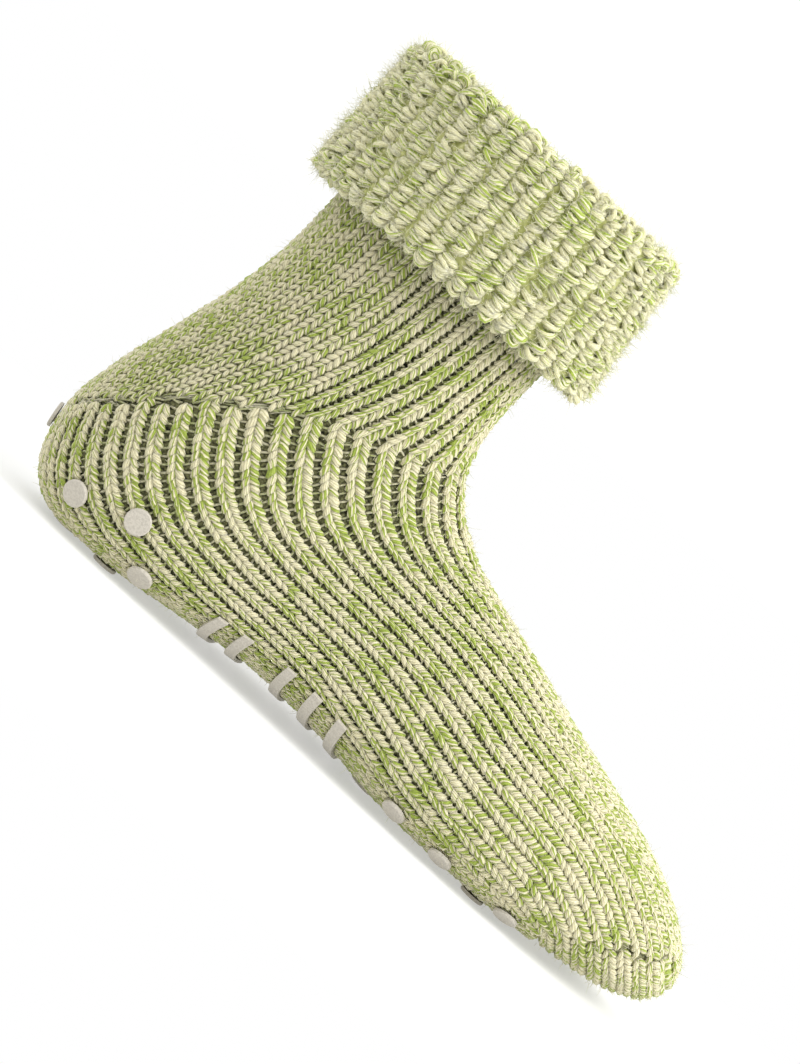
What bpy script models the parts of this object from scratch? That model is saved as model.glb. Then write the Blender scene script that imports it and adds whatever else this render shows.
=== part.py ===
"""Chunky knitted slipper sock with a turned-down terry cuff and a grip-printed sole.

Metres, +Z up. +X runs from heel to toe and the sock is symmetric about Y = 0. The origin lies on
the floor, under the middle of the sock's length. The knitted tube is one hollow solid with a
terry-lined wall, the cuff is the same fabric folded over its top edge, and the dots and chevrons
under the sole are moulded grip print that the sock stands on.
"""

import math

import bmesh
import bpy
import numpy as np
from mathutils import Matrix, Vector

# Driving sizes of the knitted tube, in metres
FOOT_LENGTH = 0.252
SOCK_HEIGHT = 0.179
SHAFT_DEPTH = 0.083
SHAFT_WIDTH = 0.070
LEG_SETBACK = 0.0175
HEEL_HEIGHT = 0.068
HEEL_WIDTH = 0.066
INSTEP_HEIGHT = 0.074
ARCH_RISE = 0.0045
BALL_WIDTH = 0.088
TOE_HEIGHT = 0.0490
FABRIC = 0.0035

# The turned cuff: its height, its thick terry wall, the fold over the edge and its looseness
CUFF_HEIGHT = 0.049
CUFF_WALL = 0.0078
CUFF_CROWN = 0.0062
CUFF_SNUG = 0.0018
CUFF_LOOSE_FRONT = 0.0032
CUFF_LOOSE_BACK = 0.0

# Grip print under the sole: round dots, and bent strips across the arch
DOT_DIAMETER = 0.0084
DOT_EDGE = 0.0003
PRINT_THICKNESS = 0.0011
CHEVRON_STROKE = 0.0036
CHEVRON_WRAP = math.radians(64)
CHEVRON_SWEEP = 0.012
CLEARANCE = 0.0003

# Mesh density
RING_POINTS = 36
SPAN_STEPS = 2
FOLD_STEPS = 6
DOT_SIDES = 16
CHEVRON_STEPS = 16

# The knit's underside stands off the floor by the print, and the sock is centred from its rearmost
# dot to the tip of its toe
SOLE_LEVEL = PRINT_THICKNESS + CLEARANCE
MIDDLE_X = (FOOT_LENGTH - SOLE_LEVEL) / 2
SHAFT_TOP = SOCK_HEIGHT - CUFF_CROWN - CLEARANCE

# The tube's sections, from the top of the leg to the toe, in four tables with the same columns.
# front and back are the two ends of a section in the plane of symmetry, with x counted from the
# back of the heel. widest is how far up from the back end the section is widest. front_power and
# back_power are the roundness of its two halves: 2 is an ellipse, and more is boxier.
SECTION_COLUMNS = ("front_x", "front_z", "back_x", "back_z", "width", "widest",
                   "front_power", "back_power")

# Leg: front_x is a share of SHAFT_DEPTH in front of the setback, front_z of the way from the
# instep to the top, back_x of LEG_SETBACK, back_z of the way from the heel's height to the top,
# and width of SHAFT_WIDTH.
LEG_SECTIONS = (
    (1.012, 1.000, 0.90, 1.000, 1.02, 0.50, 2.1, 2.1),
    (1.010, 0.774, 0.91, 0.785, 1.02, 0.50, 2.1, 2.1),
    (0.996, 0.583, 1.05, 0.584, 0.99, 0.50, 2.1, 2.1),
    (0.988, 0.412, 1.01, 0.383, 0.98, 0.50, 2.1, 2.1),
    (1.000, 0.281, 0.82, 0.191, 0.97, 0.49, 2.1, 2.1),
)

# Heel and bend of the ankle: front_x and front_z as above, back_x is a share of LEG_SETBACK,
# back_z of HEEL_HEIGHT and width of HEEL_WIDTH.
HEEL_SECTIONS = (
    (1.030, 0.196, 0.50, 1.000, 1.01, 0.47, 2.1, 2.1),
    (1.072, 0.136, 0.17, 0.706, 1.01, 0.44, 2.1, 2.2),
    (1.120, 0.092, 0.00, 0.426, 1.01, 0.41, 2.1, 2.3),
    (1.169, 0.060, 0.25, 0.160, 1.00, 0.38, 2.1, 2.5),
    (1.223, 0.034, 0.97, 0.020, 0.98, 0.36, 2.1, 2.8),
)

# Foot: front_x is a share of the way from the front of the leg to the tip, front_z of the way
# from TOE_HEIGHT to INSTEP_HEIGHT, back_x of FOOT_LENGTH, back_z of ARCH_RISE over the sole's
# level, and width of the way from HEEL_WIDTH to BALL_WIDTH.
FOOT_SECTIONS = (
    (0.162, 1.000, 0.159, -0.17, -0.11, 0.36, 2.1, 3.0),
    (0.221, 0.880, 0.262, 0.40, -0.04, 0.37, 2.1, 2.8),
    (0.294, 0.745, 0.373, 1.00, 0.18, 0.38, 2.1, 2.6),
    (0.380, 0.590, 0.484, 0.70, 0.50, 0.38, 2.1, 2.7),
    (0.479, 0.400, 0.583, 0.02, 0.82, 0.39, 2.1, 2.9),
    (0.591, 0.200, 0.675, -0.18, 1.00, 0.40, 2.2, 3.0),
    (0.703, 0.000, 0.762, -0.17, 0.98, 0.41, 2.2, 2.8),
)

# Toe: front_x as for the foot, front_z and back_z are shares of TOE_HEIGHT, back_x of FOOT_LENGTH
# and width of BALL_WIDTH. The tip closes the tube.
TOE_SECTIONS = (
    (0.806, 0.892, 0.845, 0.028, 0.91, 0.42, 2.2, 2.6),
    (0.896, 0.757, 0.915, 0.062, 0.77, 0.44, 2.2, 2.4),
    (0.958, 0.617, 0.966, 0.137, 0.56, 0.46, 2.1, 2.2),
    (0.991, 0.490, 0.992, 0.240, 0.30, 0.50, 2.0, 2.1),
)
TIP_HEIGHT = 0.365

# Grip dots, one row each: where along the sections, counted from the top of the leg, and how far
# round from the sole's middle in degrees. A row off the middle has its copy on the other side.
DOT_COLUMNS = ("station", "around")
DOT_PLACES = (
    (7.3, 0), (8.5, 50), (8.95, 76),
    (9.35, 0), (10.0, 12), (10.15, 48),
    (13.8, 0), (14.1, 46), (14.95, 45), (15.1, 0), (15.75, 17), (16.15, 44), (16.3, 0),
)

# Grip chevrons, by the station of the point of each
CHEVRON_STATIONS = (11.46, 11.82, 12.43, 12.86, 13.3)


def section_rows(sections, place):
    """Each row of a table as metres, by the function that places its named shares."""
    rows = []
    for row in sections:
        share = dict(zip(SECTION_COLUMNS, row))
        front_x, front_z, back_x, back_z, width = place(share)
        rows.append((front_x, front_z, back_x, back_z, width / 2, share["widest"],
                     share["front_power"], share["back_power"]))
    return rows


def leg_place(share):
    """Ends and width of a leg section."""
    return (LEG_SETBACK + share["front_x"] * SHAFT_DEPTH,
            INSTEP_HEIGHT + share["front_z"] * (SHAFT_TOP - INSTEP_HEIGHT),
            share["back_x"] * LEG_SETBACK,
            HEEL_HEIGHT + share["back_z"] * (SHAFT_TOP - HEEL_HEIGHT),
            share["width"] * SHAFT_WIDTH)


def heel_place(share):
    """Ends and width of a heel section."""
    return (LEG_SETBACK + share["front_x"] * SHAFT_DEPTH,
            INSTEP_HEIGHT + share["front_z"] * (SHAFT_TOP - INSTEP_HEIGHT),
            share["back_x"] * LEG_SETBACK,
            share["back_z"] * HEEL_HEIGHT,
            share["width"] * HEEL_WIDTH)


def toward_tip(share):
    """x of a share of the way from the front of the leg to the tip of the toe."""
    leg_front = LEG_SETBACK + SHAFT_DEPTH
    return leg_front + share * (FOOT_LENGTH - leg_front)


def foot_place(share):
    """Ends and width of a foot section."""
    return (toward_tip(share["front_x"]),
            TOE_HEIGHT + share["front_z"] * (INSTEP_HEIGHT - TOE_HEIGHT),
            share["back_x"] * FOOT_LENGTH,
            SOLE_LEVEL + share["back_z"] * ARCH_RISE,
            HEEL_WIDTH + share["width"] * (BALL_WIDTH - HEEL_WIDTH))


def toe_place(share):
    """Ends and width of a toe section."""
    return (toward_tip(share["front_x"]),
            share["front_z"] * TOE_HEIGHT,
            share["back_x"] * FOOT_LENGTH,
            share["back_z"] * TOE_HEIGHT,
            share["width"] * BALL_WIDTH)


def all_sections():
    """Every section in metres, top to tip, and the tip itself as a section of no size."""
    rows = section_rows(LEG_SECTIONS, leg_place)
    rows += section_rows(HEEL_SECTIONS, heel_place)
    rows += section_rows(FOOT_SECTIONS, foot_place)
    rows += section_rows(TOE_SECTIONS, toe_place)
    tip_z = TIP_HEIGHT * TOE_HEIGHT
    rows.append((FOOT_LENGTH, tip_z, FOOT_LENGTH, tip_z, 0.0, 0.5, 2.0, 2.0))
    return np.array(rows)


SECTION_VALUES = all_sections()
TIP_STATION = len(SECTION_VALUES) - 1


def between_sections(stations):
    """Smooth Catmull-Rom values of the sections at fractional row numbers."""
    stations = np.clip(np.asarray(stations, float), 0, TIP_STATION)
    low = np.minimum(stations.astype(int), TIP_STATION - 1)
    t = (stations - low)[..., None]
    before, start, end, after = (
        SECTION_VALUES[np.clip(low + k, 0, TIP_STATION)] for k in (-1, 0, 1, 2))
    return 0.5 * (2 * start + (end - before) * t
                  + (2 * before - 5 * start + 4 * end - after) * t ** 2
                  + (3 * start - before - 3 * end + after) * t ** 3)


def form(stations, around):
    """Points on the outside of the knitted tube.

    around is the angle from the front or top of a section, in radians, and pi is the back or sole.
    Each half of a section is a superellipse, and the soft sole lies flat where it would sink
    below its level.
    """
    stations, around = np.broadcast_arrays(np.asarray(stations, float), around)
    front_x, front_z, back_x, back_z, half, widest, front_power, back_power = np.moveaxis(
        between_sections(stations), -1, 0)
    along, across = np.cos(around), np.sin(around)
    power = np.where(along > 0, front_power, back_power)
    reach = np.where(along > 0, 1 - widest, widest)
    share = widest + reach * np.sign(along) * np.abs(along) ** (2 / power)
    return np.stack([
        back_x + (front_x - back_x) * share - MIDDLE_X,
        np.maximum(half, 0) * np.sign(across) * np.abs(across) ** (2 / power),
        np.maximum(back_z + (front_z - back_z) * share, SOLE_LEVEL),
    ], axis=-1)


def normals(stations, around):
    """Unit normals of the form, pointing out of the sock."""
    step = 1e-3
    along = form(stations + step, around) - form(stations - step, around)
    across = form(stations, around + step) - form(stations, around - step)
    normal = np.cross(along, across)
    return normal / np.linalg.norm(normal, axis=-1, keepdims=True)


def stations_per_metre(stations, around):
    """How fast the station changes along the form, toward the toe."""
    step = 1e-3
    along = form(stations + step, around) - form(stations - step, around)
    return 2 * step / np.linalg.norm(along, axis=-1)


def material(name, colour, roughness):
    """A Principled material with one colour, given as linear red, green and blue."""
    made = bpy.data.materials.new(name)
    made.use_nodes = True
    shader = made.node_tree.nodes["Principled BSDF"]
    shader.inputs["Base Color"].default_value = (*colour, 1)
    shader.inputs["Roughness"].default_value = roughness
    shader.inputs["Metallic"].default_value = 0
    return made


def lofted(name, points, faces, finish, collection):
    """A smooth-shaded object of hand-built faces, with its normals consistent and outward."""
    mesh = bpy.data.meshes.new(name)
    mesh.from_pydata(points.tolist(), [], faces)
    shape = bmesh.new()
    shape.from_mesh(mesh)
    bmesh.ops.recalc_face_normals(shape, faces=shape.faces)
    shape.to_mesh(mesh)
    shape.free()
    mesh.shade_smooth()
    mesh.materials.append(finish)
    obj = bpy.data.objects.new(name, mesh)
    collection.objects.link(obj)
    return obj


def quads(rings, size, rings_close, ring_closes=True):
    """Quads over a grid of rings of points, joined end to end where asked."""
    faces = []
    for i in range(rings if rings_close else rings - 1):
        here, there = i * size, (i + 1) % rings * size
        for k in range(size if ring_closes else size - 1):
            after = (k + 1) % size
            faces.append((here + k, here + after, there + after, there + k))
    return faces


def solidified(obj, thickness, offset):
    """The open surface given an even thickness, inward for an offset of -1."""
    wall = obj.modifiers.new("wall", "SOLIDIFY")
    wall.thickness = thickness
    wall.offset = offset
    wall.use_even_offset = True
    return obj


def ring_angles():
    """The angles of the points round a section."""
    return np.linspace(0, 2 * math.pi, RING_POINTS, endpoint=False)


def make_knitted_tube(finish, collection):
    """Leg, heel, foot and toe in one: a loft closed at the tip, open at the top, with its wall."""
    stations = np.arange(TIP_STATION * SPAN_STEPS) / SPAN_STEPS
    grid = form(stations[:, None], ring_angles()[None, :])
    points = np.vstack([grid.reshape(-1, 3), form(float(TIP_STATION), 0.0)[None]])
    faces = quads(len(stations), RING_POINTS, rings_close=False)
    last_ring, tip = (len(stations) - 1) * RING_POINTS, len(points) - 1
    faces += [(last_ring + k, last_ring + (k + 1) % RING_POINTS, tip)
              for k in range(RING_POINTS)]
    return solidified(lofted("knitted_tube", points, faces, finish, collection), FABRIC, -1)


def cuff_outline():
    """The folded fabric's closed outline, as rows of how loose, how far out and how high.

    The first value is a share of the gap that opens toward the hem, the second is metres outward
    from the snug line round the leg, and the third is metres above the floor. The outline goes up
    the inside, over the edge of the leg, round the fold, down the outside and round the hem.
    """
    hem = SOCK_HEIGHT - CUFF_HEIGHT
    bead = CUFF_WALL / 2
    under_fold = SHAFT_TOP + CLEARANCE
    inner_edge = -CUFF_SNUG - FABRIC
    rise = np.linspace(0, 1, FOLD_STEPS)[:-1]
    inside = [(1 - t, 0, hem + bead + (under_fold - hem - bead) * t) for t in rise]
    over_edge = [(0, 0, under_fold), (0, inner_edge, under_fold)]
    middle, reach = (CUFF_WALL + inner_edge) / 2, (CUFF_WALL - inner_edge) / 2
    turns = np.linspace(math.pi, 0, FOLD_STEPS + 2)[1:]
    fold = [(0, middle + reach * math.cos(a), under_fold + CUFF_CROWN * math.sin(a))
            for a in turns]
    outside = [(t, CUFF_WALL, under_fold - (under_fold - hem - bead) * t) for t in rise[1:]]
    bead_turns = np.linspace(0, math.pi, FOLD_STEPS)[:-1]
    hem_bead = [(1, bead + bead * math.cos(a), hem + bead - bead * math.sin(a))
                for a in bead_turns]
    return np.array(inside + over_edge + fold + outside + hem_bead)


def make_turned_cuff(finish, collection):
    """The top of the tube folded outward and down, as one ring of thick terry round the leg."""
    around = ring_angles()
    shaft = form(np.zeros_like(around), around)
    normal = normals(np.ones_like(around), around) * (1, 1, 0)
    normal /= np.linalg.norm(normal, axis=1, keepdims=True)
    loose = CUFF_LOOSE_BACK + (CUFF_LOOSE_FRONT - CUFF_LOOSE_BACK) * (1 + np.cos(around)) / 2
    outline = cuff_outline()
    off = CUFF_SNUG + outline[:, :1] * loose + outline[:, 1:2]
    points = shaft + off[..., None] * normal
    points[..., 2] = outline[:, 2:]
    faces = quads(len(outline), RING_POINTS, rings_close=True)
    return lofted("turned_cuff", points.reshape(-1, 3), faces, finish, collection)


def dot_mesh(finish):
    """One flat moulded dot with a rounded outer edge, its outer face up."""
    shape = bmesh.new()
    bmesh.ops.create_cone(shape, cap_ends=True, segments=DOT_SIDES, radius1=DOT_DIAMETER / 2,
                          radius2=DOT_DIAMETER / 2, depth=PRINT_THICKNESS)
    rim = [edge for edge in shape.edges if all(corner.co.z > 0 for corner in edge.verts)]
    bmesh.ops.bevel(shape, geom=rim, offset=DOT_EDGE, segments=1, affect="EDGES")
    mesh = bpy.data.meshes.new("grip_dot")
    shape.to_mesh(mesh)
    shape.free()
    mesh.shade_smooth()
    mesh.set_sharp_from_angle(angle=math.radians(30))
    mesh.materials.append(finish)
    return mesh


def make_grip_dots(finish, collection):
    """Every dot of the table, each lying just off the knit along the form's normal."""
    mesh = dot_mesh(finish)
    places = []
    for row in DOT_PLACES:
        place = dict(zip(DOT_COLUMNS, row))
        for side in ((1, -1) if place["around"] else (1,)):
            places.append((place["station"], math.pi - side * math.radians(place["around"])))
    for number, (station, around) in enumerate(places, start=1):
        station, around = np.array(station), np.array(around)
        normal = normals(station, around)
        centre = form(station, around) + (CLEARANCE + PRINT_THICKNESS / 2) * normal
        dot = bpy.data.objects.new(f"grip_dot_{number:02d}", mesh)
        turned = Vector(normal).to_track_quat("Z", "Y").to_matrix().to_4x4()
        dot.matrix_world = Matrix.Translation(Vector(centre)) @ turned
        collection.objects.link(dot)


def make_grip_chevrons(finish, collection):
    """Bent strips across the arch, pointing to the toe, that wrap up both sides of the foot."""
    side = np.linspace(-1, 1, CHEVRON_STEPS + 1)
    around = math.pi + side * CHEVRON_WRAP
    faces = quads(2, len(side), rings_close=False, ring_closes=False)
    for number, station in enumerate(CHEVRON_STATIONS, start=1):
        rate = stations_per_metre(np.full_like(around, station), around)
        middle = station - rate * CHEVRON_SWEEP * abs(side)
        edges = []
        for edge in (-CHEVRON_STROKE / 2, CHEVRON_STROKE / 2):
            at = middle + rate * edge
            edges.append(form(at, around) + CLEARANCE * normals(at, around))
        strip = lofted(f"grip_chevron_{number}", np.vstack(edges), faces, finish, collection)
        solidified(strip, PRINT_THICKNESS, 1)


def build():
    """Clears the scene and makes the sock."""
    for old in list(bpy.data.objects):
        bpy.data.objects.remove(old)
    parts = bpy.data.collections.new("slipper_sock")
    bpy.context.scene.collection.children.link(parts)
    face_yarn = material("face_yarn", (0.47, 0.47, 0.26), 0.92)
    terry_yarn = material("terry_yarn", (0.55, 0.55, 0.33), 0.95)
    grip_rubber = material("grip_rubber", (0.52, 0.49, 0.44), 0.55)
    make_knitted_tube(face_yarn, parts)
    make_turned_cuff(terry_yarn, parts)
    make_grip_dots(grip_rubber, parts)
    make_grip_chevrons(grip_rubber, parts)


build()
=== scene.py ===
"""The looks of a chunky knitted slipper sock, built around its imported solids.

Metres, +Z up, +X toward the toe. Every stitch is a pair of short yarn tubes laid along a wale, a
wale is a curve on the sock's form, and the form is a row of sections from the top of the leg to
the toe, as in the part's own source. The cuff is a ring of terry loops, stacked in columns.

A station is a fractional row number of the section table. An angle round a section starts at its
front or top, and pi is the back or sole. A share is how far round one side a column of stitches
runs, from 0 at the front to 1 at the back. A Pair is a value's start and end over such a range.
"""

import logging
import math
from dataclasses import dataclass, field
from enum import Enum
from typing import Any, NamedTuple

import bpy
import numpy as np
from mathutils import Matrix, Vector


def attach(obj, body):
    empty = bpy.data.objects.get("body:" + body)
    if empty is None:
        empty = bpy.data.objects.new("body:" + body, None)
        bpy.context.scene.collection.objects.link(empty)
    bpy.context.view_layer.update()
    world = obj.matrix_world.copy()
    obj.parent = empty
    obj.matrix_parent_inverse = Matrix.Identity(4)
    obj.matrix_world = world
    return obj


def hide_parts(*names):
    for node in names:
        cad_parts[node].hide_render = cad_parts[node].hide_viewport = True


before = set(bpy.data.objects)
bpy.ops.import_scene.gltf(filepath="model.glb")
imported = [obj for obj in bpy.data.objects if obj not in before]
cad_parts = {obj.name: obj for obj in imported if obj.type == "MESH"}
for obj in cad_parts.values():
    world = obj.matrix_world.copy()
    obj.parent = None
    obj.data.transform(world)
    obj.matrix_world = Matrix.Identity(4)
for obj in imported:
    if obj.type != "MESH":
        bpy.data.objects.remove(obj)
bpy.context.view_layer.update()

log = logging.getLogger("slipper_sock")
Array = np.ndarray
Random = np.random.Generator
Pair = tuple[float, float]
MM = 0.001
TURN = 2 * math.pi
UP = np.array([0, 0, 1.0])
TWIST_START_MM = 40.0  # A yarn's twist starts anywhere in this length.
MIX_FIRST, MIX_SECOND, MIX_RESULT = 6, 7, 2  # A Mix node's sockets for colours.


class Zone(Enum):
    """Stretches of the knitted tube, by the first and last section that each one covers."""

    LEG = (0.0, 4.6)
    HEEL = (4.6, 8.2)
    WAIST = (8.2, 12.2)
    BALL = (12.2, 15.6)
    TOE = (15.6, 21.0)


class Hair(NamedTuple):
    """One kind of loose fibre: its piece, how many, how long, its rings and its outward lean."""

    piece: str
    count: int
    lengths: Pair
    rings: int
    lift: float


class Lay(Enum):
    """Kinds of loose fibre: long hairs on the cuff, its short nap, and hairs on the knit."""

    CUFF = Hair("cuff_fuzz", 5000, (1.5 * MM, 4.2 * MM), 3, 1.0)
    NAP = Hair("cuff_nap", 8200, (2.5 * MM, 6.0 * MM), 4, 0.3)
    KNIT = Hair("knit_fuzz", 3500, (1.2 * MM, 2.8 * MM), 3, 1.0)


def linear(code: str) -> tuple[float, float, float, float]:
    """Turns an sRGB hex colour to linear light.

    Args:
        code: A hash sign and six hex digits.

    Returns:
        Red, green and blue, and an alpha of 1.
    """
    shares = [int(code[i:i + 2], 16) / 255 for i in (1, 3, 5)]
    red, green, blue = (v / 12.92 if v <= 0.04045 else ((v + 0.055) / 1.055) ** 2.4
                        for v in shares)
    return red, green, blue, 1.0


def unit(vectors: Array) -> Array:
    """Vectors divided by their lengths."""
    return vectors / np.maximum(np.linalg.norm(vectors, axis=-1, keepdims=True), 1e-9)


def blend(pair: Pair, share: Array) -> Array:
    """The pair's first value where the share is 0, its second where it is 1, in a line between."""
    return pair[0] + (pair[1] - pair[0]) * share


def smoothstep(low: float | Array, high: float | Array, value: Array) -> Array:
    """0 below low, 1 above high and 3t^2 - 2t^3 between them."""
    t = np.clip((value - low) / (np.asarray(high) - low), 0, 1)
    return t * t * (3 - 2 * t)


def run_along(points: Array) -> Array:
    """The distance of each point of a line from its first one: the sum of the steps up to it."""
    steps = np.linalg.norm(np.diff(points, axis=-2), axis=-1)
    return np.concatenate([np.zeros((*steps.shape[:-1], 1)), np.cumsum(steps, axis=-1)], axis=-1)


def yarn_draws(count: int, random: Random) -> tuple[Array, Array]:
    """A tone from 0 to 1 and a start in the yarn's twist, in millimetres, for each tube."""
    return random.random(count), random.uniform(0, TWIST_START_MM, count)


# Form

class Section(NamedTuple):
    """One section of the sock, or the values of many, each as an array.

    It has both ends in the middle plane, half the width, how far up from the back end it is
    widest, and the roundness of its two halves.
    """

    front_x: Any
    front_z: Any
    back_x: Any
    back_z: Any
    half: Any
    widest: Any
    front_power: Any
    back_power: Any


# From the top of the leg to the tip of the toe, in the order of Section's fields. Lengths are in
# millimetres, from the back of the heel and from the floor.
SECTION_UNITS = (MM, MM, MM, MM, MM, 1, 1, 1)
SECTIONS = (
    (101.5, 172.5, 15.8, 172.5, 35.70, 0.50, 2.1, 2.1),
    (101.3, 150.2, 15.9, 150.0, 35.70, 0.50, 2.1, 2.1),
    (100.2, 131.4, 18.4, 129.0, 34.65, 0.50, 2.1, 2.1),
    (99.5, 114.6, 17.7, 108.0, 34.30, 0.50, 2.1, 2.1),
    (100.5, 101.7, 14.3, 88.0, 33.95, 0.49, 2.1, 2.1),
    (103.0, 93.3, 8.8, 68.0, 33.33, 0.47, 2.1, 2.1),
    (106.5, 87.4, 3.0, 48.0, 33.33, 0.44, 2.1, 2.2),
    (110.5, 83.1, 0.0, 29.0, 33.33, 0.41, 2.1, 2.3),
    (114.5, 79.9, 4.4, 10.9, 33.00, 0.38, 2.1, 2.5),
    (119.0, 77.3, 17.0, 1.4, 32.34, 0.36, 2.1, 2.8),
    (125.0, 74.0, 40.1, 0.6, 31.79, 0.36, 2.1, 3.0),
    (134.0, 71.0, 66.0, 3.2, 32.56, 0.37, 2.1, 2.8),
    (145.0, 67.6, 94.0, 5.9, 34.98, 0.38, 2.1, 2.6),
    (158.1, 63.8, 122.0, 4.5, 38.50, 0.38, 2.1, 2.7),
    (173.1, 59.0, 146.9, 1.5, 42.02, 0.39, 2.1, 2.9),
    (190.0, 54.0, 170.1, 0.6, 44.00, 0.40, 2.2, 3.0),
    (207.0, 49.0, 192.0, 0.6, 43.78, 0.41, 2.2, 2.8),
    (222.6, 43.7, 212.9, 1.4, 40.04, 0.42, 2.2, 2.6),
    (236.2, 37.1, 230.6, 3.0, 33.88, 0.44, 2.2, 2.4),
    (245.6, 30.2, 243.4, 6.7, 24.64, 0.46, 2.1, 2.2),
    (250.6, 24.0, 250.0, 11.8, 13.20, 0.50, 2.0, 2.1),
    (252.0, 17.9, 252.0, 17.9, 0.00, 0.50, 2.0, 2.0),
)


@dataclass(frozen=True)
class SockForm:
    """The outside of the knitted tube as a surface of a station and an angle.

    It also has the toe's gore, a line that rises toward the tip and ends the wales of the foot,
    and the slanted planes that lay out the patch of plain knit under it.
    """

    middle_x: float = 125.3 * MM
    sole_level: float = 1.4 * MM
    fabric: float = 3.5 * MM
    probe: float = 4e-3
    blunt: float = 0.02
    gore_start: float = 208 * MM
    gore_height: float = 11 * MM
    gore_slope: float = 0.436
    plane_normal: tuple[float, float, float] = (0.743, 0.0, 0.669)
    patch_start: float = 206 * MM
    patch_end: float = 199.4 * MM

    @property
    def tip(self) -> float:
        """The station of the tip of the toe."""
        return len(SECTIONS) - 1.0

    def between(self, stations: Array) -> Section:
        """Reads the section table along Catmull-Rom curves.

        Args:
            stations: Fractional row numbers, held within the table.

        Returns:
            The section at each of them.
        """
        rows = np.array(SECTIONS) * np.array(SECTION_UNITS)
        stations = np.clip(stations, 0, self.tip)
        low = np.minimum(stations.astype(int), int(self.tip) - 1)
        t = (stations - low)[..., None]
        before, start, end, after = (rows[np.clip(low + k, 0, int(self.tip))]
                                     for k in (-1, 0, 1, 2))
        values = 0.5 * (2 * start + (end - before) * t
                        + (2 * before - 5 * start + 4 * end - after) * t ** 2
                        + (3 * start - before - 3 * end + after) * t ** 3)
        return Section(*np.moveaxis(values, -1, 0))

    def at(self, stations: Array, around: Array) -> Array:
        """Points on the form.

        Each half of a section is a superellipse: along it goes |cos|^(2/p) and across it
        |sin|^(2/p), and the whole is clamped at the sole's level.

        Args:
            stations: Fractional row numbers of the section table.
            around: Angles round the sections, in radians.

        Returns:
            Points with one more axis of three coordinates.
        """
        stations, around = np.broadcast_arrays(np.asarray(stations, float), around)
        here = self.between(stations)
        along, across = np.cos(around), np.sin(around)
        power = np.where(along > 0, here.front_power, here.back_power)
        reach = np.where(along > 0, 1 - here.widest, here.widest)
        share = here.widest + reach * np.sign(along) * np.abs(along) ** (2 / power)
        return np.stack([
            here.back_x + (here.front_x - here.back_x) * share - self.middle_x,
            np.maximum(here.half, 0) * np.sign(across) * np.abs(across) ** (2 / power),
            np.maximum(here.back_z + (here.front_z - here.back_z) * share, self.sole_level),
        ], axis=-1)

    def normal(self, stations: Array, around: Array) -> Array:
        """Unit normals pointing out, as the cross product of the two slopes of the form.

        Args:
            stations: Fractional row numbers of the section table.
            around: Angles round the sections, in radians.

        Returns:
            Directions with one more axis of three coordinates.
        """
        step = self.probe
        stations = np.clip(stations, step, self.tip - self.blunt)
        along = self.at(stations + step, around) - self.at(stations - step, around)
        across = self.at(stations, around + step) - self.at(stations, around - step)
        return unit(np.cross(along, across))

    def from_heel(self, points: Array) -> Array:
        """Distances along the sock from the back of the heel."""
        return points[..., 0] + self.middle_x

    def over_gore(self, points: Array) -> Array:
        """Heights above the line of the toe's gore."""
        return (points[..., 2] - self.gore_height
                - self.gore_slope * (self.from_heel(points) - self.gore_start))

    def plane(self, points: Array) -> Array:
        """Which slanted plane each point is on: its distance from the floor at the heel's back."""
        x_share, _, z_share = self.plane_normal
        return x_share * self.from_heel(points) + z_share * points[..., 2]

    def under_toe(self, points: Array) -> Array:
        """True in the patch below the toe's gore, up to its last slanted plane."""
        return ((self.from_heel(points) > self.patch_start) & (self.over_gore(points) < 0)
                & (self.plane(points) < self.patch_end))


# Wales

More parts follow.
